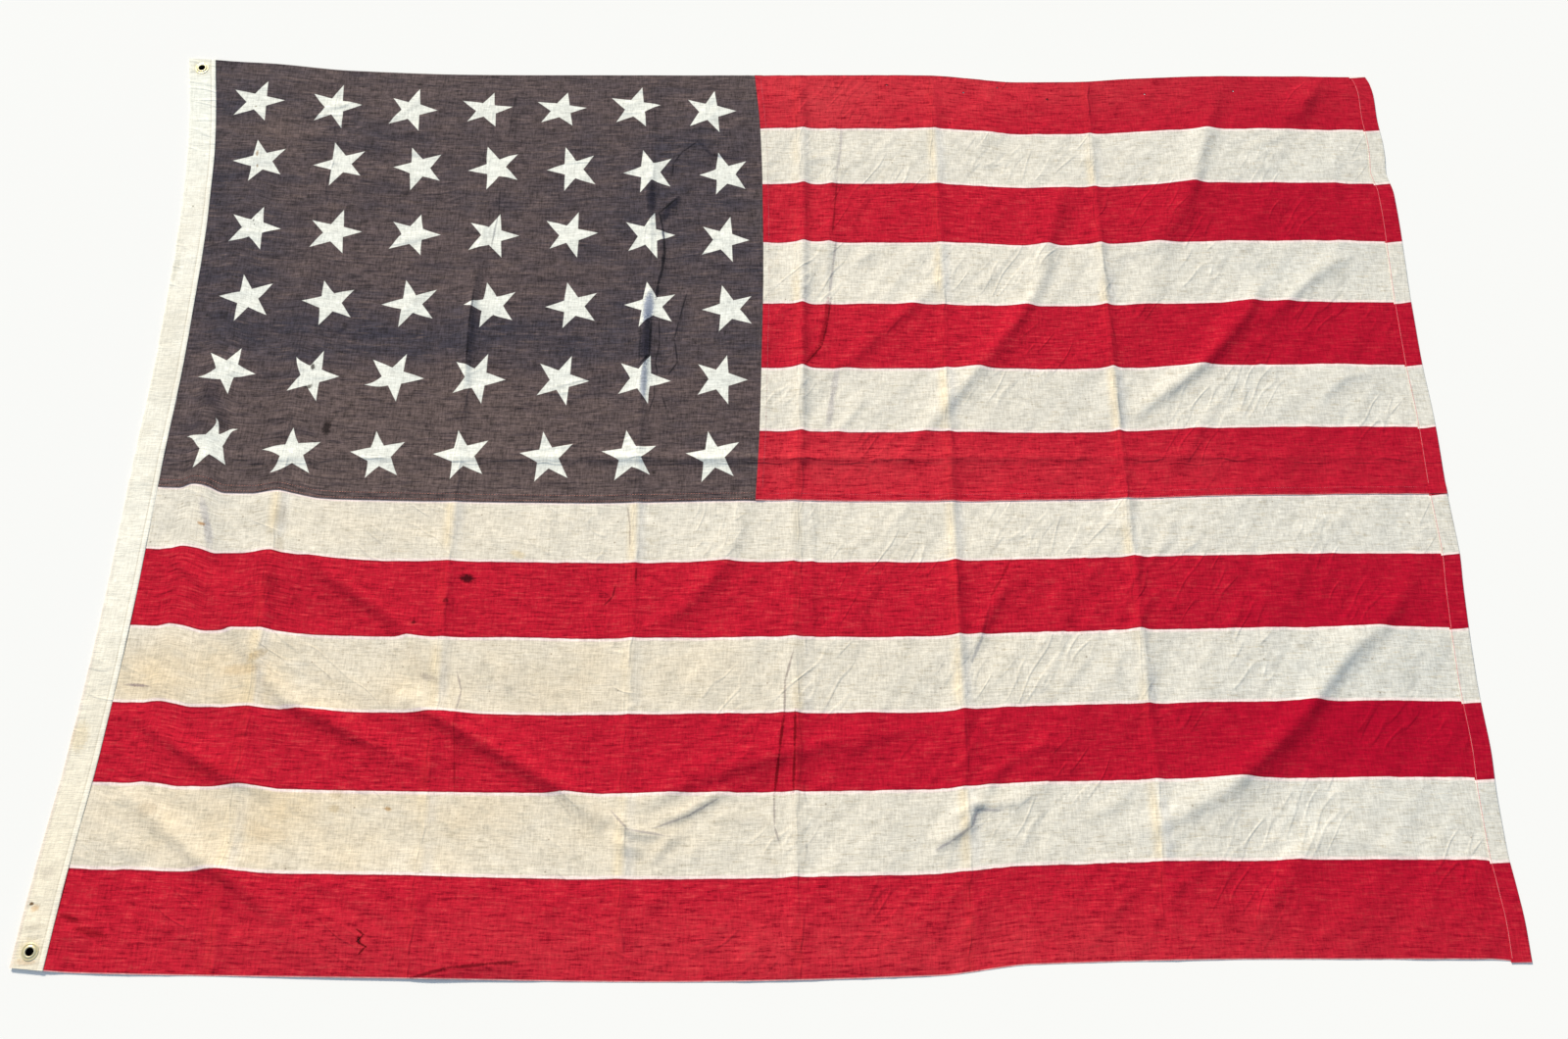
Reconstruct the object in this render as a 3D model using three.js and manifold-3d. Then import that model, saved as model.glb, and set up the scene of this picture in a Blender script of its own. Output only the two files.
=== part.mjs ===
// A cotton flag laid out flat on its back, millimetres. +X runs from the heading to the fly end,
// +Y towards the top edge and +Z up from the surface it lies on. The origin is the middle of the
// flag's box, on that surface. Three cloth panels, a canvas heading and two brass grommets lie
// edge to edge. The cloth is a thin sheet: flat where it touches the surface, and lifted into the
// soft ridges and the fold creases that years of folded storage left in it.
import * as THREE from "three";
import { mergeVertices } from "three/addons/utils/BufferGeometryUtils.js";
import Module from "manifold-3d";

const wasm = await Module();
wasm.setup();

// Driving dimensions
const CLOTH = 1.2; // cotton, with its weave and slack
const HEM = 2.0; // cotton turned over once at the fly end
const CANVAS = 2.0; // folded heading with the hoist edge of the cloth inside it
const GAP = 0.3; // between pieces
const CELL = 40; // size of the cloth's facets
const HEADING_WIDTH = 40;
const HEM_WIDTH = 25;
const HEM_STEP = 2; // over which the hem's thickness comes in

// Grommet, a spool with a flange on each face of the heading
const EYELET_RADIUS = 4.75;
const BARREL_RADIUS = 5.6;
const FLANGE_RADIUS = 10.3;
const FLANGE = 0.8; // thickness at the rim
const FLANGE_CROWN = 0.6; // how far the rolled ring stands above the rim
const GROMMET_SIDES = 48;
const GROMMET_MARGIN = 18; // from the heading's ends to an eyelet's middle
const GROMMET_SEAT = 40; // length of heading at each end that a lower flange holds up
const SEAT_RAMP = 70; // over which it comes down to the surface
const SEAT_LIFT = FLANGE + GAP;

// Edges and seams as they lie, each through a few points. Those that run along X give y for x.
const TOP_EDGE = [
  [-920, 672], [-800, 667], [-670, 655], [-500, 650], [-250, 654], [-45, 657], [225, 662],
  [290, 657], [360, 651], [450, 653], [540, 661], [700, 669], [920, 670],
];
const MIDDLE_SEAM = [
  [-850, -40], [-820, -41], [-803, -35.5], [-782, -40], [-757, -49], [-722, -49], [-688, -43.5],
  [-666, -48], [-626, -55], [-560, -57], [-300, -59], [-50, -54], [150, -54], [450, -48],
  [600, -42], [920, -36],
];
const BOTTOM_EDGE = [
  [-920, -656], [-840, -662], [-450, -668], [-160, -672], [180, -665], [300, -652], [600, -646],
  [850, -646], [908, -650],
];
// Those that run along Y give x for y.
const HOIST_EDGE = [
  [-656, -920], [-540, -913], [-400, -901], [-200, -892], [0, -889], [150, -885], [300, -886],
  [480, -894], [560, -903], [672, -920],
];
const CANTON_SEAM = [[-54, -41], [50, -36], [150, -34], [300, -32], [457, -34], [557, -38], [656, -47]];
const FLY_EDGE = [
  [-650, 907], [-460, 908], [-370, 904], [-262, 907], [-140, 914], [-32, 913], [80, 916],
  [270, 916], [410, 920], [560, 917], [670, 912],
];

// Storage creases, straight lines that run the flag's whole height or length: place, height, width
const UPRIGHT_CREASES = [[-680, 1.2, 8], [-449, 2.6, 9], [-200, 3.4, 10], [28, 4, 10], [228, 3, 9], [470, 4, 9]];
const LEVEL_CREASE = [6, 1.8, 8];

// Soft ridges: height, width, and the points that the crest runs through
const RIDGES = [
  // towards the fly end, rising to the top right
  [7, 20, [[430, -505], [550, -445], [650, -365], [725, -282], [805, -208], [865, -130]]],
  [6, 18, [[150, -5], [240, 108], [330, 222], [375, 300], [395, 385], [430, 470]]],
  [6, 17, [[478, 70], [525, 106], [598, 163], [665, 238], [705, 310]]],
  [4, 15, [[690, 225], [770, 300], [830, 345]]],
  [5.5, 20, [[540, 345], [603, 430], [640, 540], [680, 660]]],
  [5, 18, [[790, 580], [815, 625], [845, 668]]],
  [3.5, 15, [[75, 140], [150, 218], [230, 300]]],
  [3, 15, [[540, -10], [570, 40], [600, 95]]],
  [4, 17, [[570, -620], [640, -525], [690, -488]]],
  [4.5, 18, [[-170, -240], [-85, -150], [-55, -60]]],
  [4.5, 18, [[-200, -470], [-60, -415], [60, -385], [130, -365]]],
  // towards the heading, falling to the bottom right
  [7, 18, [[-668, -105], [-612, -158], [-570, -186], [-500, -238], [-470, -290], [-455, -330]]],
  [9, 20, [[-500, -322], [-450, -350], [-403, -376], [-312, -428], [-276, -447], [-225, -492]]],
  [7.5, 18, [
    [-835, -110], [-810, -142], [-748, -194], [-724, -232], [-660, -310], [-625, -340],
    [-560, -369], [-499, -399], [-435, -432],
  ]],
  [6.5, 17, [[-845, -342], [-808, -365], [-752, -400], [-695, -430], [-640, -455]]],
  [7, 18, [[-835, -448], [-797, -470], [-751, -502], [-712, -535], [-676, -552], [-602, -605]]],
  [5, 14, [[-840, 110], [-795, 30], [-785, -40], [-765, -150]]],
  [4.5, 14, [[-840, 145], [-760, 45], [-690, -35]]],
  [4.5, 14, [[-450, -672], [-370, -655], [-290, -662]]],
];
const LIES_FLAT = 0.5; // what the cloth's own weight presses out of every ridge

// A smooth curve through the points that never overshoots them, as a function of the first number.
function curve(points) {
  const slopes = points.slice(1).map(([a, b], i) => (b - points[i][1]) / (a - points[i][0]));
  const tangents = points.map((_, i) => {
    const [before, after] = [slopes[i - 1], slopes[i]];
    if (before === undefined || after === undefined) return before ?? after;
    return before * after > 0 ? (2 * before * after) / (before + after) : 0;
  });
  return (at) => {
    const last = points.length - 1;
    if (at <= points[0][0]) return points[0][1];
    if (at >= points[last][0]) return points[last][1];
    const i = points.findIndex(([a]) => a > at) - 1;
    const span = points[i + 1][0] - points[i][0];
    const t = (at - points[i][0]) / span;
    const bend = t * (1 - t) * span;
    return (
      THREE.MathUtils.lerp(points[i][1], points[i + 1][1], t * t * (3 - 2 * t)) +
      bend * ((1 - t) * tangents[i] - t * tangents[i + 1])
    );
  };
}

const top = curve(TOP_EDGE);
const middle = curve(MIDDLE_SEAM);
const bottom = curve(BOTTOM_EDGE);
const hoist = curve(HOIST_EDGE);
const cantonSeam = curve(CANTON_SEAM);
const fly = curve(FLY_EDGE);
const headingSeam = (y) => hoist(y) + HEADING_WIDTH;
const hemLine = (y) => fly(y) - HEM_WIDTH;

const bump = (distance, width) => Math.exp(-((distance / width) ** 2));

// A ridge's share of the height: full along its crest, and dying away beside it and past its ends.
function ridge([height, width, points]) {
  const crest = new THREE.SplineCurve(points.map(([x, y]) => new THREE.Vector2(x, y)))
    .getPoints(8 * (points.length - 1));
  return (place) => {
    let nearest = { distance: Infinity, along: 0 };
    for (const [i, start] of crest.slice(0, -1).entries()) {
      const step = crest[i + 1].clone().sub(start);
      const t = THREE.MathUtils.clamp(place.clone().sub(start).dot(step) / step.lengthSq(), 0, 1);
      const distance = start.clone().addScaledVector(step, t).distanceTo(place);
      if (distance < nearest.distance) nearest = { distance, along: (i + t) / (crest.length - 1) };
    }
    const taper = Math.sin(Math.PI * THREE.MathUtils.clamp(nearest.along, 0.06, 0.94)) ** 0.6;
    return height * taper * bump(nearest.distance, width);
  };
}
const ridges = RIDGES.map(ridge);

// How far a grommet's lower flange holds the cloth up: all the way across the heading's ends.
function seat(x, y) {
  const fromEnd = Math.min(y - bottom(x), top(x) - y);
  const along = 1 - THREE.MathUtils.smoothstep(fromEnd, GROMMET_SEAT, GROMMET_SEAT + SEAT_RAMP);
  const across = 1 - THREE.MathUtils.smoothstep(x - headingSeam(y), 0, SEAT_RAMP);
  return SEAT_LIFT * along * across;
}

// Height of the cloth's underside above the surface.
function lift(x, y) {
  const place = new THREE.Vector2(x, y);
  const free = THREE.MathUtils.smoothstep(x, headingSeam(y), headingSeam(y) + CELL);
  const folded = ridges.reduce((sum, share) => sum + share(place), 0);
  const creased = UPRIGHT_CREASES.reduce((sum, [at, h, w]) => sum + h * bump(x - at, w), 0);
  const [level, levelHeight, levelWidth] = LEVEL_CREASE;
  const across = levelHeight * bump(y - level, levelWidth);
  return Math.max(0, free * (folded + creased + across) - LIES_FLAT, seat(x, y));
}

// Grid lines from one named line to the next, about CELL apart, so that creases fall on a line.
function gridLines(...named) {
  return named.slice(1).flatMap((end, i) => {
    const count = Math.max(1, Math.round((end - named[i]) / CELL));
    return Array.from({ length: count }, (_, k) => named[i] + ((k + 1) * (end - named[i])) / count);
  });
}

// Where a grid line lies once the panel's real edges are known: its share of the way across.
const between = (low, high, share) => (at) => THREE.MathUtils.lerp(low(at), high(at), share);
const shares = (lines) => lines.map((line) => (line - lines[0]) / (lines.at(-1) - lines[0]));

// A sheet of cloth on a grid. columns give x for y and rows give y for x. Its thickness may change
// along the columns. Each edge that meets another piece is drawn back by half the gap.
function sheet(columns, rows, thickness, seams) {
  const [nx, ny] = [columns.length - 1, rows.length - 1];
  const geometry = new THREE.BoxGeometry(nx, ny, 1, nx, ny, 1);
  geometry.deleteAttribute("normal");
  geometry.deleteAttribute("uv");
  const merged = mergeVertices(geometry);
  const position = merged.attributes.position;
  for (let k = 0; k < position.count; k++) {
    const [i, j] = [Math.round(position.getX(k) + nx / 2), Math.round(position.getY(k) + ny / 2)];
    let [x, y] = [columns[i](0), 0];
    for (let pass = 0; pass < 4; pass++) [x, y] = [columns[i](y), rows[j](x)];
    const z = lift(x, y);
    if (i === 0 && seams.left) x += GAP / 2;
    if (i === nx && seams.right) x -= GAP / 2;
    if (j === 0 && seams.below) y += GAP / 2;
    if (j === ny && seams.above) y -= GAP / 2;
    position.setXYZ(k, x, y, position.getZ(k) > 0 ? z + thickness(i) : z);
  }
  return merged;
}

// The grid of the whole flag. Named lines are the seams, the creases and the hem's edge.
const cantonLines = [-850, ...gridLines(-850, -680, -449, -200, -37)];
const flyLines = [-37, ...gridLines(-37, 28, 228, 470, 889)];
const upperLines = [-55, ...gridLines(-55, LEVEL_CREASE[0], 660)];
const lowerLines = [-662, ...gridLines(-662, -55)];

const cantonColumns = shares(cantonLines).map((share) => between(headingSeam, cantonSeam, share));
const flyColumns = [
  ...shares(flyLines).map((share) => between(cantonSeam, hemLine, share)),
  (y) => hemLine(y) + HEM_STEP,
  fly,
];
const lowerColumns = [...cantonColumns, ...flyColumns.slice(1)];
const upperRows = shares(upperLines).map((share) => between(middle, top, share));
const lowerRows = shares(lowerLines).map((share) => between(bottom, middle, share));

const cloth = () => CLOTH;
const hemmed = (columns) => (i) => (i >= columns.length - 2 ? HEM : CLOTH);

function solid(geometry) {
  const merged = mergeVertices(geometry);
  return new wasm.Manifold(
    new wasm.Mesh({
      numProp: 3,
      vertProperties: merged.attributes.position.array,
      triVerts: new Uint32Array(merged.index.array),
    }),
  );
}

function fromSolid(manifold) {
  const mesh = manifold.getMesh();
  const geometry = new THREE.BufferGeometry();
  geometry.setAttribute("position", new THREE.BufferAttribute(mesh.vertProperties, 3));
  geometry.setIndex(new THREE.BufferAttribute(mesh.triVerts, 1));
  return geometry;
}

// The middle of each eyelet, on the heading's middle line.
function eyelet(edge, inwards) {
  const y = edge(-920) + inwards * GROMMET_MARGIN;
  return new THREE.Vector3(hoist(y) + HEADING_WIDTH / 2, y, 0);
}
const eyelets = { grommet_top: eyelet(top, -1), grommet_bottom: eyelet(bottom, 1) };

// A folded canvas strip, with a hole for each grommet's barrel.
function headingGeometry() {
  const ends = [bottom(-920), bottom(-920) + GROMMET_SEAT, top(-920) - GROMMET_SEAT, top(-920)];
  const rows = shares([ends[0], ...gridLines(...ends)]).map((share) => between(bottom, top, share));
  const columns = [hoist, (y) => hoist(y) + HEADING_WIDTH / 2, headingSeam];
  let strip = solid(sheet(columns, rows, () => CANVAS, { right: true }));
  for (const centre of Object.values(eyelets)) {
    const punch = new THREE.CylinderGeometry(BARREL_RADIUS + GAP, BARREL_RADIUS + GAP, 20, GROMMET_SIDES);
    punch.rotateX(Math.PI / 2).translate(centre.x, centre.y, 0);
    punch.deleteAttribute("normal");
    punch.deleteAttribute("uv");
    strip = strip.subtract(solid(punch));
  }
  return fromSolid(strip);
}

// A spool turned about its eyelet: a flat rim below and a crowned ring above.
function grommetGeometry() {
  const seatTop = SEAT_LIFT + CANVAS + GAP; // underside of the upper flange
  const rimTop = seatTop + FLANGE;
  const crown = (EYELET_RADIUS + FLANGE_RADIUS) / 2;
  const profile = [
    [EYELET_RADIUS, 0],
    [FLANGE_RADIUS, 0],
    [FLANGE_RADIUS, FLANGE],
    [BARREL_RADIUS, FLANGE],
    [BARREL_RADIUS, seatTop],
    [FLANGE_RADIUS, seatTop],
    [FLANGE_RADIUS, rimTop],
    [crown, rimTop + FLANGE_CROWN],
    [EYELET_RADIUS, rimTop],
    [EYELET_RADIUS, 0],
  ];
  return new THREE.LatheGeometry(profile.map(([r, z]) => new THREE.Vector2(r, z)), GROMMET_SIDES)
    .rotateX(Math.PI / 2);
}

const finish = (color, roughness, metalness = 0) =>
  new THREE.MeshStandardMaterial({ color, roughness, metalness });

const flag = new THREE.Group();
function add(name, geometry, material, place = new THREE.Vector3()) {
  const mesh = new THREE.Mesh(geometry, material);
  mesh.name = name;
  mesh.position.copy(place);
  flag.add(mesh);
}

add(
  "canton",
  sheet(cantonColumns, upperRows, cloth, { left: true, right: true, below: true }),
  finish(0x5d4e4e, 0.95),
);
add(
  "fly_stripes",
  sheet(flyColumns, upperRows, hemmed(flyColumns), { left: true, below: true }),
  finish(0xcd1e32, 0.95),
);
add(
  "lower_stripes",
  sheet(lowerColumns, lowerRows, hemmed(lowerColumns), { left: true, above: true }),
  finish(0xe8e0cc, 0.95),
);
add("heading", headingGeometry(), finish(0xeeead7, 0.9));
for (const [name, centre] of Object.entries(eyelets)) {
  add(name, grommetGeometry(), finish(0xc8c38c, 0.45, 1), centre);
}

export default flag;
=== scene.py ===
# A printed cotton flag laid out on its back. A canton with cut-out stars and two striped panels are
# lapped and stitched together, turned over in a hem at the fly end, and held at the other end in a
# folded canvas heading with a brass grommet in each corner. Charts of the cloth are in millimetres
# in the flag's own frame, and meshes are made in metres.
import math

import bpy
import numpy as np
from mathutils import Matrix


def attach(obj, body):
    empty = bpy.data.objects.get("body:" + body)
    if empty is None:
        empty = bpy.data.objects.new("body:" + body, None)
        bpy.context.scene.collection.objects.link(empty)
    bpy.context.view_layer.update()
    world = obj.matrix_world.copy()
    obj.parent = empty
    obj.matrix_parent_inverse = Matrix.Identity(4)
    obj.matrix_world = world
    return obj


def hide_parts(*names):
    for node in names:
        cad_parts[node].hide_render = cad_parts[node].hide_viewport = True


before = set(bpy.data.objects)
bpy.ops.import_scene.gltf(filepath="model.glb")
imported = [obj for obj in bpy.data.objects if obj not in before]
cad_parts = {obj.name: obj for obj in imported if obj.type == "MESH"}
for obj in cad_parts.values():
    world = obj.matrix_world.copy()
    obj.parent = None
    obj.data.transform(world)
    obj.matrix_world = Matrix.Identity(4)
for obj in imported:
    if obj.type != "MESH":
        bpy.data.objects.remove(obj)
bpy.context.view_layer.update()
scene = bpy.context.scene
scene.view_settings.view_transform = "Standard"
MM = 0.001

# Camera
# It stands just past the flag's bottom edge, a little left of the middle, and looks down on it.
CAMERA_PLACE = (-0.0388, -0.7087, 1.6564)
CAMERA_DOWN = 69.2  # degrees below the horizon
CAMERA_RIGHT = 3.34  # degrees from straight ahead
CAMERA_ROLL = 3.53
lens = bpy.data.cameras.new("camera")
lens.lens = 30
camera = bpy.data.objects.new("camera", lens)
camera.matrix_world = (
    Matrix.Translation(CAMERA_PLACE)
    @ Matrix.Rotation(math.radians(-CAMERA_RIGHT), 4, "Z")
    @ Matrix.Rotation(math.radians(90 - CAMERA_DOWN), 4, "X")
    @ Matrix.Rotation(math.radians(CAMERA_ROLL), 4, "Z")
)
scene.collection.objects.link(camera)
scene.camera = camera


# Canton
# One piece of plain-woven cotton, dyed dark with forty-two stars left white in six rows of seven.
# The dye has gone brown and blue-black in streaks along the threads. Its bottom edge is felled over
# the striped panel below, its right edge lies under the fly panel, and its left in the heading.
CLOTH = 0.45  # thickness of one layer of cotton
HEADING_WIDTH = 40
TUCK = 13  # how far the cloth runs on inside the heading
IN_HEADING = 1.25  # height of the middle of the cloth there
SEAM_BAND = 13  # width of the felled seam under the canton and the upper stripes
FLY_LAP = 10  # width of the lap where the upper stripes cover the canton's edge
LAP_LIFT = 0.75  # of the upper layer above the cloth it laps over

# Edges and seams as they lie. Those that run along X give y for x, and the others x for y.
TOP_EDGE = [
    (-920, 672), (-800, 667), (-670, 655), (-500, 650), (-250, 654), (-45, 657), (225, 662),
    (290, 657), (360, 651), (450, 653), (540, 661), (700, 669), (920, 670),
]
MIDDLE_SEAM = [
    (-850, -40), (-820, -41), (-803, -35.5), (-782, -40), (-757, -49), (-722, -49), (-688, -43.5),
    (-666, -48), (-626, -55), (-560, -57), (-300, -59), (-50, -54), (150, -54), (450, -48),
    (600, -42), (920, -36),
]
BOTTOM_EDGE = [
    (-920, -656), (-840, -662), (-450, -668), (-160, -672), (180, -665), (300, -652),
    (600, -646), (850, -646), (908, -650),
]
HOIST_EDGE = [
    (-656, -920), (-540, -913), (-400, -901), (-200, -892), (0, -889), (150, -885), (300, -886),
    (480, -894), (560, -903), (672, -920),
]
CANTON_SEAM = [
    (-54, -41), (50, -36), (150, -34), (300, -32), (457, -34), (557, -38), (656, -47),
]
FLY_EDGE = [
    (-650, 906.5), (-604, 907.5), (-559, 905), (-514, 902), (-449, 902.5), (-382, 906), (-320, 905),
    (-262, 906.5), (-170, 911.5), (-116, 915.5), (-32, 914), (80, 916.5), (171, 914.5), (270, 916),
    (340, 919), (419, 921.5), (455, 921.5), (474, 918.5), (490, 916), (520, 919), (545, 920),
    (590, 918), (635, 919.5), (656, 917), (670, 912),
]


def curve(points):
    """A smooth line that never overshoots its points, as a function of their first number."""
    at, value = np.array(points, float).T
    slopes = np.diff(value) / np.diff(at)
    both = slopes[:-1] * slopes[1:]
    inner = np.where(both > 0, 2 * both / np.where(both > 0, slopes[:-1] + slopes[1:], 1), 0)
    tangents = np.concatenate([slopes[:1], inner, slopes[-1:]])

    def read(where):
        where = np.clip(where, at[0], at[-1])
        i = np.clip(np.searchsorted(at, where, side="right") - 1, 0, len(at) - 2)
        span = at[i + 1] - at[i]
        t = (where - at[i]) / span
        bend = t * (1 - t) * span * ((1 - t) * tangents[i] - t * tangents[i + 1])
        return value[i] + (value[i + 1] - value[i]) * t * t * (3 - 2 * t) + bend

    return read


top, middle, bottom = curve(TOP_EDGE), curve(MIDDLE_SEAM), curve(BOTTOM_EDGE)
hoist, canton_seam, fly = curve(HOIST_EDGE), curve(CANTON_SEAM), curve(FLY_EDGE)

# The folds. The whole flag was stored folded, so its creases run through every panel, and one chart
# of heights holds them all. Sharp creases have a narrow crest; soft ridges a broad one.
CHART_STEP = 2.5
chart_x = np.arange(-940, 941, CHART_STEP)
chart_y = np.arange(-690, 691, CHART_STEP)
plan_x, plan_y = np.meshgrid(chart_x, chart_y)

# Storage creases that run up the flag: width, crest, then (x, y, height) from the bottom up.
UPRIGHT_CREASES = [
    (7, 3, [(-682, -300, 0), (-680, -210, 1.8), (-684, -130, 1.4), (-684, -60, 0)]),
    (8, 3, [(-415, -470, 0), (-418, -400, 1.8), (-432, -355, 2.2), (-444, -310, 1.6),
            (-447, -200, 2.2), (-447, -60, 2.2), (-448, 60, 2.2), (-449, 150, 3.4), (-450, 240, 4),
            (-448, 300, 3), (-440, 400, 1), (-417, 450, 2), (-415, 560, 2.2), (-416, 640, 1)]),
    (8, 2.5, [(-204, -650, 0.8), (-202, -400, 1.4), (-201, -60, 2.6), (-203, 20, 3.4), (-201, 90, 4),
              (-200, 150, 6), (-200, 225, 5.5), (-196, 300, 1.4), (-200, 400, 4.6), (-200, 455, 4.2),
              (-200, 520, 1.8), (-200, 640, 1.2)]),
    (9, 3, [(10, -640, 1), (14, -480, 2.4), (12, -300, 3), (10, -120, 3.2), (14, -30, 3.4),
            (22, 40, 4.5), (24, 160, 7), (25, 260, 6), (27, 360, 5), (28, 460, 4.5),
            (28, 560, 3), (28, 650, 1.6)]),
    (8, 2.5, [(212, -500, 0), (226, -430, 2.8), (229, -330, 4), (228, -200, 4.4), (228, -60, 4),
              (228, 40, 2.6), (229, 200, 1.8), (230, 420, 1.4), (230, 640, 1.6)]),
    (8, 2.5, [(476, -640, 0.8), (473, -480, 1.8), (470, -330, 3.6), (470, -200, 4), (468, -60, 3.8),
              (467, 60, 5), (466, 200, 5), (466, 330, 4.4), (467, 430, 3.2), (468, 640, 2)]),
]
UPRIGHT_LINES = (-0.682, -0.447, -0.2, 0.022, 0.229, 0.469)  # where they are sharpest, in metres

# Soft ridges: height, width, and the points that the crest runs through. The crest is rounded over
# 0.42 of the width, and the sides fall away over 0.62 of it.
RIDGES = [
    # towards the fly end, rising to the top right
    (7, 20, [(430, -505), (550, -445), (650, -365), (725, -282), (805, -208), (865, -130)]),
    (6, 18, [(150, -5), (240, 108), (330, 222), (375, 300), (395, 385), (430, 470)]),
    (6, 17, [(478, 70), (525, 106), (598, 163), (665, 238), (705, 310)]),
    (4, 15, [(690, 225), (770, 300), (830, 345)]),
    (5.5, 20, [(540, 345), (603, 430), (640, 540), (680, 660)]),
    (5, 18, [(790, 580), (815, 625), (845, 668)]),
    (3.5, 15, [(75, 140), (150, 218), (230, 300)]),
    (3, 15, [(540, -10), (570, 40), (600, 95)]),
    (4, 17, [(570, -620), (640, -525), (690, -488)]),
    (4.5, 18, [(-170, -240), (-85, -150), (-55, -60)]),
    (4.5, 18, [(-200, -470), (-60, -415), (60, -385), (130, -365)]),
    # towards the heading, falling to the bottom right
    (7, 13, [(-668, -105), (-612, -158), (-570, -186), (-500, -238), (-470, -290), (-455, -330)]),
    (9.5, 14, [(-500, -322), (-450, -350), (-403, -376), (-312, -428), (-276, -447), (-225, -492)]),
    (8, 13, [(-835, -110), (-810, -142), (-748, -194), (-724, -232), (-660, -310), (-625, -340),
               (-560, -369), (-499, -399), (-435, -432)]),
    (6.5, 12, [(-845, -342), (-808, -365), (-752, -400), (-695, -430), (-640, -455)]),
    (7, 13, [(-835, -448), (-797, -470), (-751, -502), (-712, -535), (-676, -552), (-602, -605)]),
    (5, 14, [(-840, 110), (-795, 30), (-785, -40), (-765, -150)]),
    (4.5, 14, [(-840, 145), (-760, 45), (-690, -35)]),
    (4.5, 14, [(-450, -672), (-370, -655), (-290, -662)]),
]

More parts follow.
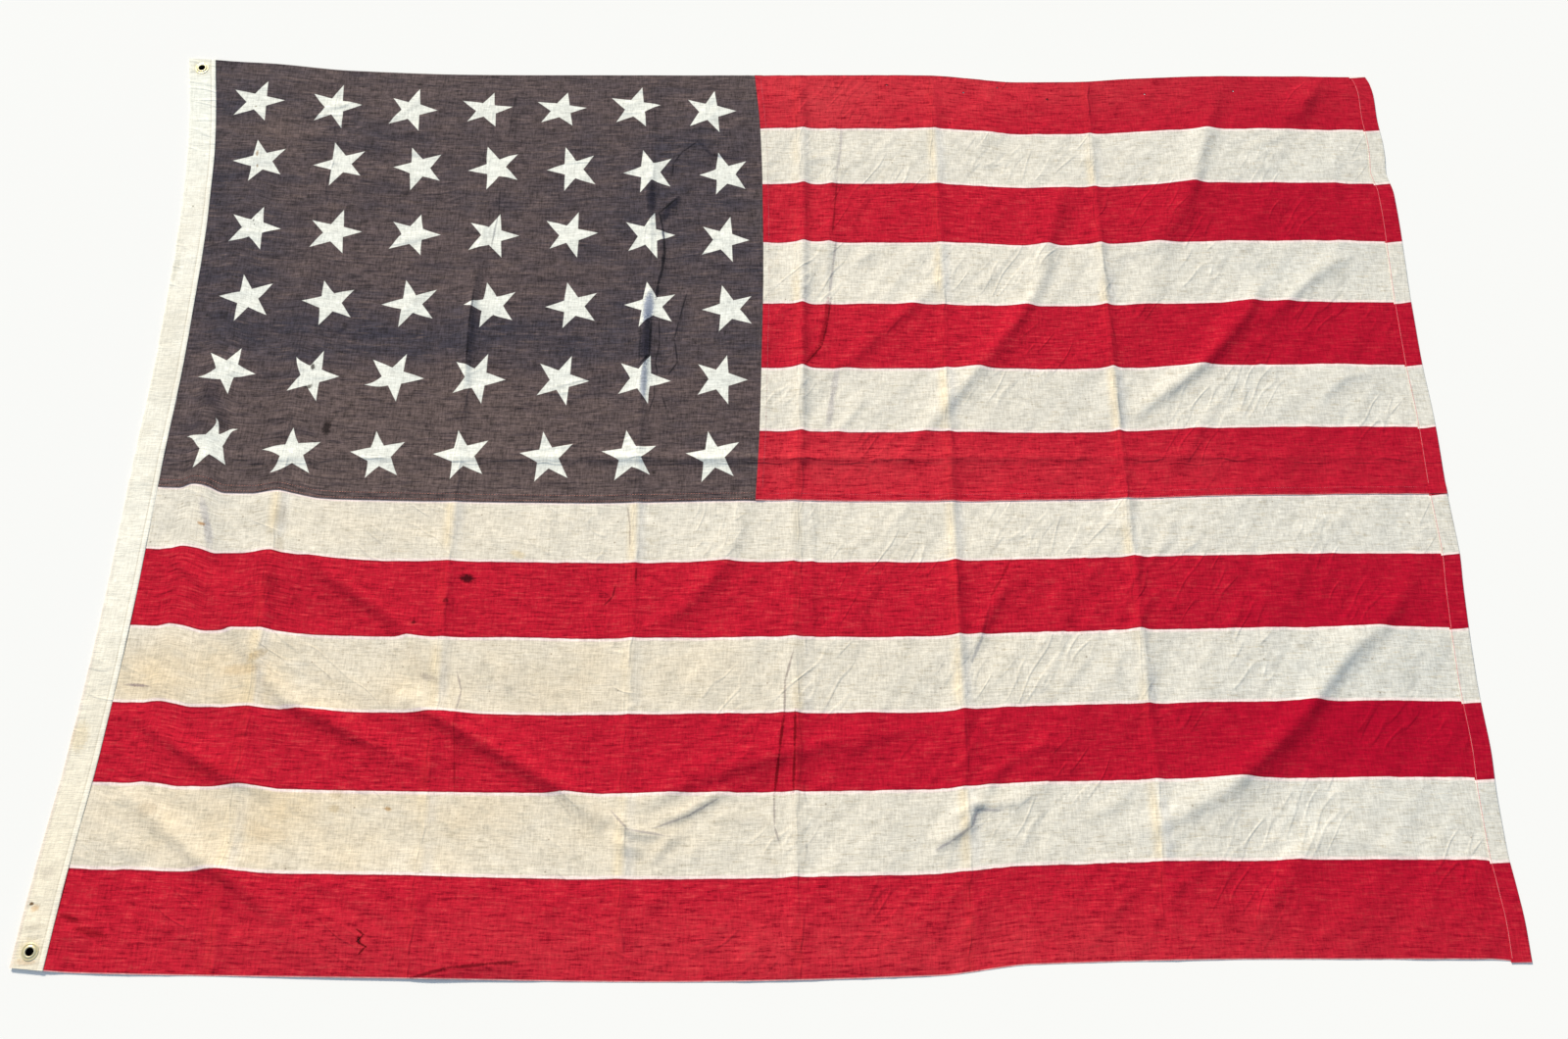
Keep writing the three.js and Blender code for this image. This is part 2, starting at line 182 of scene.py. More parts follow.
# Smaller wrinkles: height, width, and their points.
WRINKLES = [
    (2.4, 5, [(-880, 0), (-600, 4), (-300, 6), (0, 7), (300, 12), (600, 16), (885, 17)]),
    (1.6, 5, [(-340, 5), (-200, 7), (-60, 6), (60, 8), (120, 9)]),
    (-2, 5, [(-878, 12), (-850, 15), (-820, 22), (-800, 26)]),
    (4, 6, [(-185, 262), (-180, 300), (-182, 350), (-186, 402)]),
    (4, 5, [(-449, 108), (-450, 175), (-449, 232), (-445, 305)]),
    (3, 6, [(-178, 396), (-168, 415), (-158, 440)]),
    (2.6, 5, [(-160, 148), (-157, 180), (-155, 215), (-150, 262)]),
    (2, 5, [(-172, 15), (-173, 50), (-172, 84)]),
    (1.6, 5, [(-213, -52), (-216, -30), (-218, -12)]),
    (1.4, 5, [(-180, -46), (-172, -32), (-165, -18)]),
    (1.2, 6, [(-430, -298), (-422, -340), (-428, -362)]),
    (2.4, 6, [(35, 158), (50, 190), (58, 250), (68, 420), (76, 602)]),
    (2, 6, [(32, -300), (35, -200), (36, -100), (34, 0)]),
    (1.6, 6, [(0, -508), (-12, -480), (-12, -440), (-5, -350), (5, -268)]),
    (1.6, 6, [(8, -602), (12, -500), (13, -400), (15, -288)]),
    (4.2, 6, [(182, -514), (204, -503), (229, -486), (236, -464), (272, -465)]),
    (4.2, 5, [(-224, -470), (-198, -493), (-178, -500), (-146, -498)]),
    (4.2, 5, [(-166, -488), (-124, -473), (-90, -453), (-62, -446)]),
    (3.2, 5, [(-166, -537), (-144, -505), (-130, -496)]),
    (2, 4, [(-112, -503), (-118, -540)]),
    (3, 5, [(-218, -506), (-177, -526)]),
    (1.2, 5, [(-92, -478), (-30, -481)]),
    (2.6, 6, [(234, -440), (278, -417), (321, -390), (382, -393)]),
    (2.4, 6, [(62, -409), (109, -383), (183, -361)]),
    (1.5, 6, [(-110, -417), (-62, -386)]),
    (2, 6, [(340, -333), (397, -270)]),
    (2.6, 5, [(238, -278), (258, -236), (282, -192), (300, -150)]),
    (1.4, 5, [(428, -306), (434, -264)]),
    (1.4, 5, [(-118, -643), (-58, -591)]),
    (1.8, 4, [(-180, -578), (-155, -581), (-142, -558)]),
    (1.2, 4, [(150, -552), (150, -643)]),
    (1.2, 4, [(132, -552), (132, -643)]),
    (1.3, 4, [(-95, -376), (-94, -403)]),
    (1.6, 4, [(-426, -350), (-420, -400), (-416, -455)]),
    (1.4, 5, [(-456, -380), (-453, -410), (-449, -452)]),
    (1.6, 5, [(-304, -612), (-285, -590), (-262, -562)]),
    (1.4, 5, [(100, 322), (132, 342)]),
    (1.6, 5, [(276, 277), (304, 300), (331, 337)]),
    (1.4, 5, [(30, 496), (80, 513)]),
    (1.3, 5, [(-640, 520), (-560, 505), (-470, 512)]),
    (1.2, 5, [(-760, 420), (-690, 405), (-610, 410)]),
    (1.2, 5, [(-420, 300), (-350, 292), (-260, 300)]),
    (1.6, 6, [(50, 20), (90, 70), (120, 112)]),
    (1.4, 6, [(640, 58), (648, 100), (656, 152)]),
    (1.6, 5, [(180, -506), (230, -465), (280, -460), (332, -440)]),
    (2.6, 9, [(-600, -555), (-550, -565), (-500, -590), (-438, -616)]),
    (1.6, 8, [(-560, -600), (-520, -622)]),
    (2.2, 7, [(-62, -666), (0, -660), (100, -655), (202, -655)]),
    (2, 8, [(758, 108), (800, 140), (842, 150)]),
    (1.1, 6, [(680, 540), (715, 556), (752, 571)]),
    (1.1, 6, [(690, 520), (740, 545), (782, 561)]),
    (0.9, 6, [(700, 500), (730, 497), (762, 489)]),
    (-1.2, 5, [(-874, -550), (-800, -540), (-748, -522)]),
    (2.6, 6, [(-882, -606), (-855, -616), (-828, -624)]),
    (1.2, 7, [(498, -562), (515, -535), (532, -508)]),
    (1.4, 8, [(688, -498), (760, -520), (802, -531)]),
    (1.4, 7, [(250, -257), (270, -210), (296, -168)]),
    (1.2, 6, [(430, -342), (430, -300), (446, -278)]),
    (1.2, 7, [(480, 330), (520, 345), (562, 352)]),
    (1.2, 6, [(820, 328), (830, 420), (838, 500), (848, 562)]),
    (1.4, 7, [(-802, 566), (-760, 550), (-700, 530), (-620, 525), (-560, 545), (-518, 566)]),
    (1.2, 6, [(-200, 535), (-170, 543), (-140, 540), (-110, 528), (-48, 513)]),
    (1, 5, [(-175, 480), (-160, 505), (-150, 542)]),
    (1.2, 7, [(-642, 162), (-600, 120), (-560, 90), (-528, 63)]),
    (1.2, 7, [(-602, 188), (-540, 240), (-498, 302)]),
    (0.9, 5, [(-622, 352), (-550, 353), (-478, 352)]),
    (0.9, 5, [(-622, 312), (-540, 314), (-448, 312)]),
    (1, 5, [(-122, 321), (-85, 318), (-48, 310)]),
    (1, 5, [(-132, 521), (-118, 515), (-103, 508)]),
]


def smooth_path(points, step=9):
    """Places about step apart on a smooth line through the points, with their other numbers."""
    p = np.array(points, float)
    p = np.vstack([2 * p[0] - p[1], p, 2 * p[-1] - p[-2]])
    parts = []
    for a, b, c, d in zip(p, p[1:], p[2:], p[3:]):
        count = max(2, round(np.hypot(*(c - b)[:2]) / step))
        t = np.arange(count)[:, None] / count
        cubic = (3 * b - a - 3 * c + d) * t**3 + (2 * a - 5 * b + 4 * c - d) * t**2
        parts.append((cubic + (c - a) * t + 2 * b) / 2)
    return np.vstack([*parts, p[-2:-1]])


def fold(chart, line, width, crest, steep=0.3):
    """Adds a fold along line, a row of (x, y, height), steeper on the side to the right of it."""
    reach = 4 * width + crest
    columns = slice(*np.searchsorted(chart_x, [line[:, 0].min() - reach, line[:, 0].max() + reach]))
    rows = slice(*np.searchsorted(chart_y, [line[:, 1].min() - reach, line[:, 1].max() + reach]))
    x, y = plan_x[rows, columns], plan_y[rows, columns]
    nearest = np.full(x.shape, 1e9)
    height, right = np.zeros(x.shape), np.zeros(x.shape)
    for (x0, y0, h0), (x1, y1, h1) in zip(line, line[1:]):
        dx, dy = x1 - x0, y1 - y0
        t = np.clip(((x - x0) * dx + (y - y0) * dy) / (dx * dx + dy * dy), 0, 1)
        off_x, off_y = x - x0 - t * dx, y - y0 - t * dy
        away = off_x * off_x + off_y * off_y
        closer = away < nearest
        nearest[closer] = away[closer]
        height[closer] = (h0 + (h1 - h0) * t)[closer]
        right[closer] = ((dy * off_x - dx * off_y) / np.sqrt(away + 1))[closer]
    spread = width * (1 - steep * np.clip(right, -1, 1))
    chart[rows, columns] += height * np.exp((crest - np.sqrt(nearest + crest * crest)) / spread)


def tapered(points, height):
    """A fold's line that is full height along its middle and dies away towards its ends."""
    line = smooth_path(points)
    along = np.linspace(0, 1, len(line))
    return np.column_stack([line, height * np.sin(np.pi * along) ** 0.6])


def crumple(along, across, turn, seed):
    """A smooth random chart with unit spread, whose waves are long in one direction."""
    noise = np.random.default_rng(seed).standard_normal(plan_x.shape)
    fy, fx = np.meshgrid(
        np.fft.fftfreq(len(chart_y), CHART_STEP), np.fft.fftfreq(len(chart_x), CHART_STEP), indexing="ij"
    )
    c, s = math.cos(math.radians(turn)), math.sin(math.radians(turn))
    falloff = ((fx * c + fy * s) * along) ** 2 + ((fy * c - fx * s) * across) ** 2
    field = np.fft.ifft2(np.fft.fft2(noise) * np.exp(-9 * falloff)).real
    return field / field.std()


def blot(x, y, half_x, half_y, turn=0):
    """A soft patch of the chart, 1 in its middle."""
    c, s = math.cos(math.radians(turn)), math.sin(math.radians(turn))
    u = ((plan_x - x) * c + (plan_y - y) * s) / half_x
    v = ((plan_y - y) * c - (plan_x - x) * s) / half_y
    return np.exp(-(u * u + v * v))


folds = np.zeros_like(plan_x)
for width, crest, points in UPRIGHT_CREASES:
    fold(folds, smooth_path(points), width, crest)
for height, width, points in RIDGES:
    fold(folds, tapered(points, height), 0.62 * width, 0.42 * width, steep=0.38)
for height, width, points in WRINKLES:
    fold(folds, tapered(points, height), width, 2.5, steep=0.4)

# Slack that was never pressed out: long low waves, and small wrinkles that follow the threads in
# the canton, rise to the right in the fly half and fall to the right near the heading.
toward_heading = 1 / (1 + np.exp((plan_x + 250) / 90))
in_canton = toward_heading / (1 + np.exp((-20 - plan_y) / 30))
near_hoist = toward_heading * (1 - in_canton / np.maximum(toward_heading, 1e-6))
folds += 0.6 * crumple(150, 120, 30, seed=3)
folds += near_hoist * (0.9 * crumple(95, 42, -38, seed=5) + 0.5 * crumple(50, 20, -20, seed=6))
folds += in_canton * (0.3 * crumple(60, 26, 0, seed=7) + 0.22 * crumple(45, 12, 0, seed=8))
folds += (1 - toward_heading) * (0.45 * crumple(80, 30, 52, seed=9) + 0.3 * crumple(50, 16, 66, seed=10))
for along_it, across_it, turn, seed, share in (
    (38, 12, -30, 11, near_hoist), (34, 11, 54, 12, 1 - toward_heading), (34, 11, 8, 13, in_canton),
):
    wrinkled = np.maximum(0, 1 - np.abs(crumple(along_it, across_it, turn, seed)) * 2.2)
    folds += 0.8 * share * wrinkled * np.clip(crumple(90, 70, 0, seed + 20), 0, 1.5)

LOFT = 1.3  # that the slack cloth has on average
LOWEST = 0.3  # for the middle of the cloth, which lies on the floor
from_edge = np.minimum(top(plan_x) - plan_y, plan_y - bottom(plan_x))
from_edge = np.minimum(from_edge, fly(plan_y) - plan_x)
settles = 0.35 + 0.65 * np.clip(from_edge / 45, 0, 1)
folds = np.maximum(folds * settles + LOFT * settles, LOWEST)


def chart_at(chart, x, y):
    """What a chart says at places on the flag."""
    i = np.clip((x - chart_x[0]) / CHART_STEP, 0, len(chart_x) - 1.001)
    j = np.clip((y - chart_y[0]) / CHART_STEP, 0, len(chart_y) - 1.001)
    i0, j0 = i.astype(int), j.astype(int)
    u, v = i - i0, j - j0
    low = chart[j0, i0] * (1 - u) + chart[j0, i0 + 1] * u
    high = chart[j0 + 1, i0] * (1 - u) + chart[j0 + 1, i0 + 1] * u
    return low * (1 - v) + high * v


def ease(value, start, end):
    """0 before start, 1 after end, and a soft step between them."""
    t = np.clip((value - start) / (end - start), 0, 1)
    return t * t * (3 - 2 * t)


FLANGE_LIFT = 1.1


def grommet_lift(x, y):
    """How far the grommets' lower flanges hold up the ends of the heading."""
    from_end = np.minimum(y - bottom(x), top(x) - y)
    return FLANGE_LIFT * (1 - ease(from_end, 40, 110)) * (1 - ease(x - hoist(y) - HEADING_WIDTH, 0, 70))


def cloth_height(x, y):
    """Height of the middle of the cloth, which lies on the heading's lower layer by the hoist."""
    held = IN_HEADING + grommet_lift(x, y)
    free = ease(x - hoist(y) - HEADING_WIDTH, 1, 26)
    return held + (np.maximum(chart_at(folds, x, y), grommet_lift(x, y) + LOWEST) - held) * free


def lap_lift(x, y):
    """How far a panel's lower edge is lifted by the seam that it covers."""
    on_seam = 1 - ease(y - middle(x), SEAM_BAND, SEAM_BAND + 4)
    return LAP_LIFT * on_seam * ease(x - hoist(y) - HEADING_WIDTH, 0, 5)


def shares(low, high, count, tight=()):
    """Shares of the way from low to high, closer together near the places in tight."""
    fine = np.linspace(low, high, 4000)
    density = 1 + sum(1.1 * np.exp(-(((fine - place) / 22) ** 2)) for place in tight)
    filled = np.concatenate([[0], np.cumsum((density[1:] + density[:-1]) / 2)])
    return (np.interp(np.linspace(0, filled[-1], count + 1), filled, fine) - low) / (high - low)


def lay_out(left, right, low, high, across, up):
    """The places of a panel's threads in plan, from the shares of its width and height."""
    s, t = np.meshgrid(across, up)
    x = left(0) + (right(0) - left(0)) * s
    y = np.zeros_like(x)
    for _ in range(8):
        y = low(x) + (high(x) - low(x)) * t
        x = left(y) + (right(y) - left(y)) * s
    return x, y


def tear(x, y, holes):
    """Opens a hole at each (x, y, half width, half height, turn): moves the threads beside it to
    its rim and returns which cells of the cloth are gone."""
    gone = np.zeros((x.shape[0] - 1, x.shape[1] - 1), bool)
    rim = [(-1, -1), (-1, 0), (-1, 1), (0, 1), (1, 1), (1, 0), (1, -1), (0, -1)]
    uneven = [1, 0.8, 1.15, 0.9, 1, 1.2, 0.85, 1.1]
    for place_x, place_y, half_x, half_y, turn in holes:
        inner = (x[1:-1, 1:-1] - place_x) ** 2 + (y[1:-1, 1:-1] - place_y) ** 2
        j, i = (np.array(np.unravel_index(inner.argmin(), inner.shape)) + 1).tolist()
        gone[j - 1 : j + 1, i - 1 : i + 1] = True
        c, s = math.cos(math.radians(turn)), math.sin(math.radians(turn))
        for (row, column), share in zip(rim, uneven):
            length = math.hypot(row, column) / share
            u, v = half_x * column / length, half_y * row / length
            x[j + row, i + column] = place_x + u * c - v * s
            y[j + row, i + column] = place_y + u * s + v * c
    return gone


def cells_of(grid):
    """The values at the four corners of each cell of a grid."""
    return np.stack([grid[:-1, :-1], grid[:-1, 1:], grid[1:, 1:], grid[1:, :-1]], 2)


def weave_sheet(name, points, gone, maps, masks, thickness=CLOTH):
    """A sheet of cloth as a closed mesh: a grid of points less the cells that are gone, with its
    maps (two numbers at each corner of each cell) and masks (one number at each point)."""
    rows, columns = points.shape[:2]
    cells = cells_of(np.arange(rows * columns).reshape(rows, columns))[~gone]
    mesh = bpy.data.meshes.new(name)
    mesh.from_pydata(points.reshape(-1, 3) * MM, [], cells)
    for label, values in maps.items():
        values = values[~gone].astype(np.float32)
        mesh.uv_layers.new(name=label).uv.foreach_set("vector", values.ravel())
    for label, values in masks.items():
        kept = mesh.attributes.new(label, "FLOAT", "POINT")
        kept.data.foreach_set("value", values.astype(np.float32).ravel())
    mesh.shade_smooth()
    piece = bpy.data.objects.new(name, mesh)
    scene.collection.objects.link(piece)
    thicken = piece.modifiers.new("thickness", "SOLIDIFY")
    thicken.thickness, thicken.offset = thickness * MM, 0
    settled(piece).data.set_sharp_from_angle(angle=math.radians(60))
    return piece


def settled(piece):
    """The piece, with its modifiers made part of its mesh."""
    mesh = bpy.data.meshes.new_from_object(piece.evaluated_get(bpy.context.evaluated_depsgraph_get()))
    piece.modifiers.clear()
    piece.data = mesh
    return piece


def along(line, shift):
    """A seam or edge moved sideways."""
    return lambda at: line(at) + shift


# Stars. Row by row from the top: the middle of each, and the turn of the tip that points nearest
# to the fly end, in degrees.
STARS = [
    [(-804, 594, 4), (-687, 587, 4), (-570, 582, 2), (-456, 584, 7), (-342, 586, 9), (-229, 592, 8),
     (-116, 587, 5)],
    [(-784, 486, 34), (-665, 482, -35), (-548, 478, -34), (-434, 478, -32), (-319, 478, -34),
     (-204, 475, -36), (-91, 473, 35)],
    [(-779, 370, 1), (-661, 364, 4), (-546, 362, 2), (-430, 361, 3), (-317, 364, 3),
     (-202, 364, 4), (-91, 359, 2)],
    [(-772, 253, 33), (-653, 247, 35), (-537, 245, 35), (-422, 244, 34), (-305, 244, 35),
     (-193, 246, 31), (-81, 242, 35)],
    [(-782, 136, -7), (-664, 129, -1), (-550, 128, -4), (-434, 127, -2), (-316, 126, -2),
     (-203, 128, -2), (-93, 129, 1)],
    [(-786, 22, 22), (-676, 12, 24), (-558, 8, 29), (-444, 9, 32), (-328, 8, 29), (-214, 10, 26),
     (-100, 10, 30)],
]
STAR_RADIUS = 39.5
SQUASHED_STARS = {(0, 3): 0.84, (0, 4): 0.84}  # height over width of two that the cloth drew in
# Tips that were cut crooked: which star, then for each tip the way it points, how far it leans and
# how far its middle curls.
BENT_TIPS = {
    (4, 0): [(-140, 0.35, 0)], (4, 2): [(-148, 0.3, 0)], (4, 1): [(140, 0.2, 0)],
    (5, 0): [(22, -0.14, -0.4), (94, 0.05, 0.35), (166, 0, 0.3)],
    (5, 1): [(96, 0.1, 0), (168, -0.2, 0), (-120, 0.19, 0)],
}


def star_map(corners_x, corners_y):
    """For each cell of the canton, its corners as seen from the middle of the nearest star."""
    stars = [(i, j, *star) for i, row in enumerate(STARS) for j, star in enumerate(row)]
    middle_x, middle_y = corners_x.mean(2), corners_y.mean(2)
    far = [(middle_x - x) ** 2 + (middle_y - y) ** 2 for _, _, x, y, _ in stars]
    nearest = np.argmin(far, 0)
    uneven = np.random.default_rng(41)
    local = np.zeros((*corners_x.shape, 2))
    for number, (row, place, x, y, turn) in enumerate(stars):
        mine = nearest == number
        u, v = corners_x[mine] - x, (corners_y[mine] - y) / SQUASHED_STARS.get((row, place), 1)
        radius, angle = np.hypot(u, v) / STAR_RADIUS, np.degrees(np.arctan2(v, u))
        for way, lean, curl in BENT_TIPS.get((row, place), ()):
            off = (angle - way + 180) % 360 - 180
            bend = lean * radius**2 + 4 * curl * radius**2 * np.maximum(1 - radius, 0)
            angle = angle + np.degrees(bend) * np.exp(-((off / 34) ** 2))
        phases, sizes = uneven.uniform(0, 360, 3), uneven.uniform(0, 1, 3) * (0.05, 0.05, 0.045)
        for waves, phase, size in zip((1, 2, 5), phases, sizes):
            radius = radius * (1 + size * np.cos(np.radians(waves * (angle - phase))))
        angle = np.radians(angle - turn + 2.5 * np.sin(np.radians(2 * angle + phases[0])))
        local[mine] = np.stack([radius * np.cos(angle), radius * np.sin(angle)], -1)
    return local


CANTON_HEIGHT = 715
CANTON_COLUMNS, CANTON_ROWS = 234, 201
canton_x, canton_y = lay_out(
    along(hoist, HEADING_WIDTH - TUCK), along(canton_seam, FLY_LAP - 1), middle, top,
    shares(-864, -28, CANTON_COLUMNS, (-449, -200)), np.linspace(0, 1, CANTON_ROWS + 1),
)
canton_z = cloth_height(canton_x, canton_y) + lap_lift(canton_x, canton_y)
gone = np.zeros((CANTON_ROWS, CANTON_COLUMNS), bool)


def thread_map(x, y, low, high, height):
    """Where each point is along and across the threads, in metres."""
    share = (y - low(x)) / (high(x) - low(x))
    return cells_of(np.stack([x * MM, share * height * MM], -1))


# Soft patches where the dye has kept more blue, near the heading and the top, along the fold lines
# and beside the fly panel.
blueness = (
    0.9 * blot(-860, 500, 90, 260) + 0.5 * blot(-700, 540, 170, 45, -8) + 0.5 * blot(-780, 300, 70, 120)
    + 0.3 * blot(-300, 535, 260, 40) + 0.6 * blot(-110, 520, 90, 60) + 0.5 * blot(-60, 330, 60, 120)
    + 0.6 * blot(-690, 200, 120, 60) + 0.5 * blot(-420, 190, 220, 50) + 0.4 * blot(-230, 400, 80, 120)
    + 0.3 * blot(-520, 420, 260, 40) + 0.4 * blot(-830, 30, 50, 60) + 0.7 * blot(-160, 250, 110, 150)
    + 0.6 * blot(-430, 190, 330, 45) + 0.4 * blot(-130, 430, 120, 60)
)
browning = (
    0.9 * blot(-800, 535, 100, 45) + 0.8 * blot(-500, 70, 260, 70) + 0.7 * blot(-500, -20, 330, 40)
    + 0.5 * blot(-130, 230, 90, 120)
)
canton = weave_sheet(
    "canton_cotton_panel",
    np.stack([canton_x, canton_y, canton_z], -1),
    gone,
    {
        "threads": thread_map(canton_x, canton_y, middle, top, CANTON_HEIGHT),
        "stars": star_map(cells_of(canton_x), cells_of(canton_y)),
    },
    {
        "blue": chart_at(blueness, canton_x, canton_y), "brown": chart_at(browning, canton_x, canton_y),
        "by_hoist": np.full(canton_x.shape, 0.5),
    },
)


def dye(red, green, blue):
    """A colour in the linear values that materials take, from its 0 to 255 screen values."""
    return tuple(
        (c / 255 / 12.92 if c <= 10.31 else ((c / 255 + 0.055) / 1.055) ** 2.4) for c in (red, green, blue)
    ) + (1,)


def put(tree, kind, inputs=None, out=0, **settings):
    """Adds a shader node, its inputs given as values or as other nodes' sockets; gives an output."""
    node = tree.nodes.new("ShaderNode" + kind)
    for name, value in settings.items():
        setattr(node, name, value)
    for key, value in (inputs or {}).items():
        if isinstance(value, bpy.types.NodeSocket):
            tree.links.new(value, node.inputs[key])
        else:
            node.inputs[key].default_value = value
    return node.outputs[out]


def sum_of(tree, operation, a, b=0.0, c=0.0, clamp=False):
    """A Math node's result."""
    return put(tree, "Math", {0: a, 1: b, 2: c}, operation=operation, use_clamp=clamp)


def mixed(tree, factor, a, b, way="MIX"):
    """Colour a turned into b by factor."""
    return put(tree, "Mix", {0: factor, 6: a, 7: b}, out=2, data_type="RGBA", blend_type=way)


def step(tree, value, low, high, start=0.0, end=1.0):
    """A soft step from start to end as value goes from low to high."""
    inputs = {"Value": value, "From Min": low, "From Max": high, "To Min": start, "To Max": end}
    return put(tree, "MapRange", inputs, interpolation_type="SMOOTHSTEP")


def noise(tree, vector, scale, detail=2.0, rough=0.5, stretch=(1, 1, 1), shift=(0, 0, 0)):
    """Smooth noise from 0 to 1, drawn out along the axes where stretch is small."""
    placed = put(tree, "Mapping", {"Vector": vector, "Location": shift, "Scale": stretch})
    inputs = {"Vector": placed, "Scale": scale, "Detail": detail, "Roughness": rough}
    return put(tree, "TexNoise", inputs, noise_dimensions="2D")


def split(tree, vector):
    """The outputs of a node that takes a vector apart."""
    node = tree.nodes.new("ShaderNodeSeparateXYZ")
    tree.links.new(vector, node.inputs[0])
    return node.outputs


def start_group(name, inputs, outputs):
    """A new shader node group: its tree, and its input sockets by name."""
    tree = bpy.data.node_groups.new(name, "ShaderNodeTree")
    kinds = {"value": "NodeSocketFloat", "colour": "NodeSocketColor", "place": "NodeSocketVector"}
    for label, kind, value in inputs:
        socket = tree.interface.new_socket(name=label, in_out="INPUT", socket_type=kinds[kind])
        if value is not None:
            socket.default_value = value
    for label, kind in outputs:
        tree.interface.new_socket(name=label, in_out="OUTPUT", socket_type=kinds[kind])
    given = tree.nodes.new("NodeGroupInput").outputs
    return tree, {socket.name: socket for socket in given}


def end_group(tree, outputs):
    """Joins a group's results to its output sockets."""
    result = tree.nodes.new("NodeGroupOutput")
    for label, value in outputs.items():
        tree.links.new(value, result.inputs[label])
    return tree


def use(tree, group, inputs):
    """Places a node group; gives its output sockets by name."""
    node = tree.nodes.new("ShaderNodeGroup")
    node.node_tree = group
    for label, value in inputs.items():
        if isinstance(value, bpy.types.NodeSocket):
            tree.links.new(value, node.inputs[label])
        else:
            node.inputs[label].default_value = value
    return {socket.name: socket for socket in node.outputs}


def make_plain_weave():
    """Plain weave of uneven hand-spun-looking yarn: thick and thin threads both ways."""
    tree, given = start_group(
        "plain weave",
        [("Threads", "place", None), ("Per metre", "value", 1000.0), ("Slubs", "value", 1.0)],
        [("Shade", "value"), ("Height", "value")],
    )
    at = given["Threads"]
    weft = noise(tree, at, 1.0, 3.0, 0.8, stretch=(52, 400, 1))
    warp = noise(tree, at, 1.0, 3.0, 0.8, stretch=(400, 60, 1), shift=(3.1, 7.7, 0))
    cloudy = noise(tree, at, 60.0, 1.0, 0.5)
    threads = sum_of(tree, "MULTIPLY_ADD", weft, 1.0, sum_of(tree, "MULTIPLY", warp, 0.9))
    threads = sum_of(tree, "MULTIPLY_ADD", cloudy, 0.2, sum_of(tree, "SUBTRACT", threads, 1.05))
    shade = sum_of(tree, "MULTIPLY_ADD", threads, given["Slubs"], 1.0)
    scaled = put(tree, "VectorMath", {0: at, 3: given["Per metre"]}, operation="SCALE")
    across, up = split(tree, scaled)[:2]
    over = sum_of(tree, "SINE", sum_of(tree, "MULTIPLY", across, math.pi))
    under = sum_of(tree, "SINE", sum_of(tree, "MULTIPLY", up, math.pi))
    crossing = sum_of(tree, "MULTIPLY", over, under)
    height = sum_of(tree, "MULTIPLY_ADD", crossing, 0.05, sum_of(tree, "MULTIPLY", weft, 0.5))
    return end_group(tree, {"Shade": shade, "Height": height})


plain_weave = make_plain_weave()


def make_wrinkles():
    """Small wrinkles of cotton that was washed and folded away, which run along X of the place they
    are given, as a height in millimetres: soft ones all over, and patches of sharper ones."""
    tree, given = start_group(
        "worn wrinkles", [("Place", "place", None), ("Sharp", "value", 0.8)], [("Height", "value")]
    )
    soft = noise(tree, given["Place"], 1.0, 2.0, 0.5, stretch=(9, 26, 1))
    lines = noise(tree, given["Place"], 1.0, 1.0, 0.5, stretch=(11, 40, 1), shift=(1, 2, 0))
    off = sum_of(tree, "ABSOLUTE", sum_of(tree, "SUBTRACT", lines, 0.5))
    crest = step(tree, off, 0.0, 0.09, 1.0, 0.0)
    patch = step(tree, noise(tree, given["Place"], 8.0, 1.0, 0.5), 0.5, 0.68)
    crest = sum_of(tree, "MULTIPLY", sum_of(tree, "MULTIPLY", crest, patch), given["Sharp"])
    return end_group(tree, {"Height": sum_of(tree, "MULTIPLY_ADD", soft, 2.4, crest)})


worn_wrinkles = make_wrinkles()


def make_pressed_crease():
    """A crease pressed into the cloth on a nearly straight line: two thin broken ridges beside each
    other, as a height in millimetres, and the dirt that has settled along them."""
    tree, given = start_group(
        "pressed crease",
        [("Across", "value", 0.0), ("Along", "value", 0.0), ("Seed", "value", 0.0)],
        [("Height", "value"), ("Dirt", "value")],
    )
    place = put(tree, "CombineXYZ", {0: given["Along"], 1: given["Seed"]})
    wander = sum_of(tree, "SUBTRACT", noise(tree, place, 13.0, 2.0, 0.6), 0.5)
    broken = noise(tree, place, 17.0, 1.0, 0.5, shift=(4, 0, 0))
    found = []
    two_ridges = ((0.0, 0.02, 0.003, 0.46, 0.66), (0.006, -0.014, 0.002, 0.58, 0.4))
    for side, share, half_width, low, high in two_ridges:
        line = sum_of(tree, "MULTIPLY_ADD", wander, share, side)
        off = sum_of(tree, "ABSOLUTE", sum_of(tree, "ADD", given["Across"], line))
        here = step(tree, broken, low, high)
        found.append(sum_of(tree, "MULTIPLY", step(tree, off, 0.0, half_width, 1.0, 0.0), here))
    height = sum_of(tree, "MULTIPLY_ADD", found[0], 0.6, sum_of(tree, "MULTIPLY", found[1], 0.35))
    dirt = sum_of(tree, "MAXIMUM", found[0], found[1])
    return end_group(tree, {"Height": height, "Dirt": dirt})


pressed_crease = make_pressed_crease()


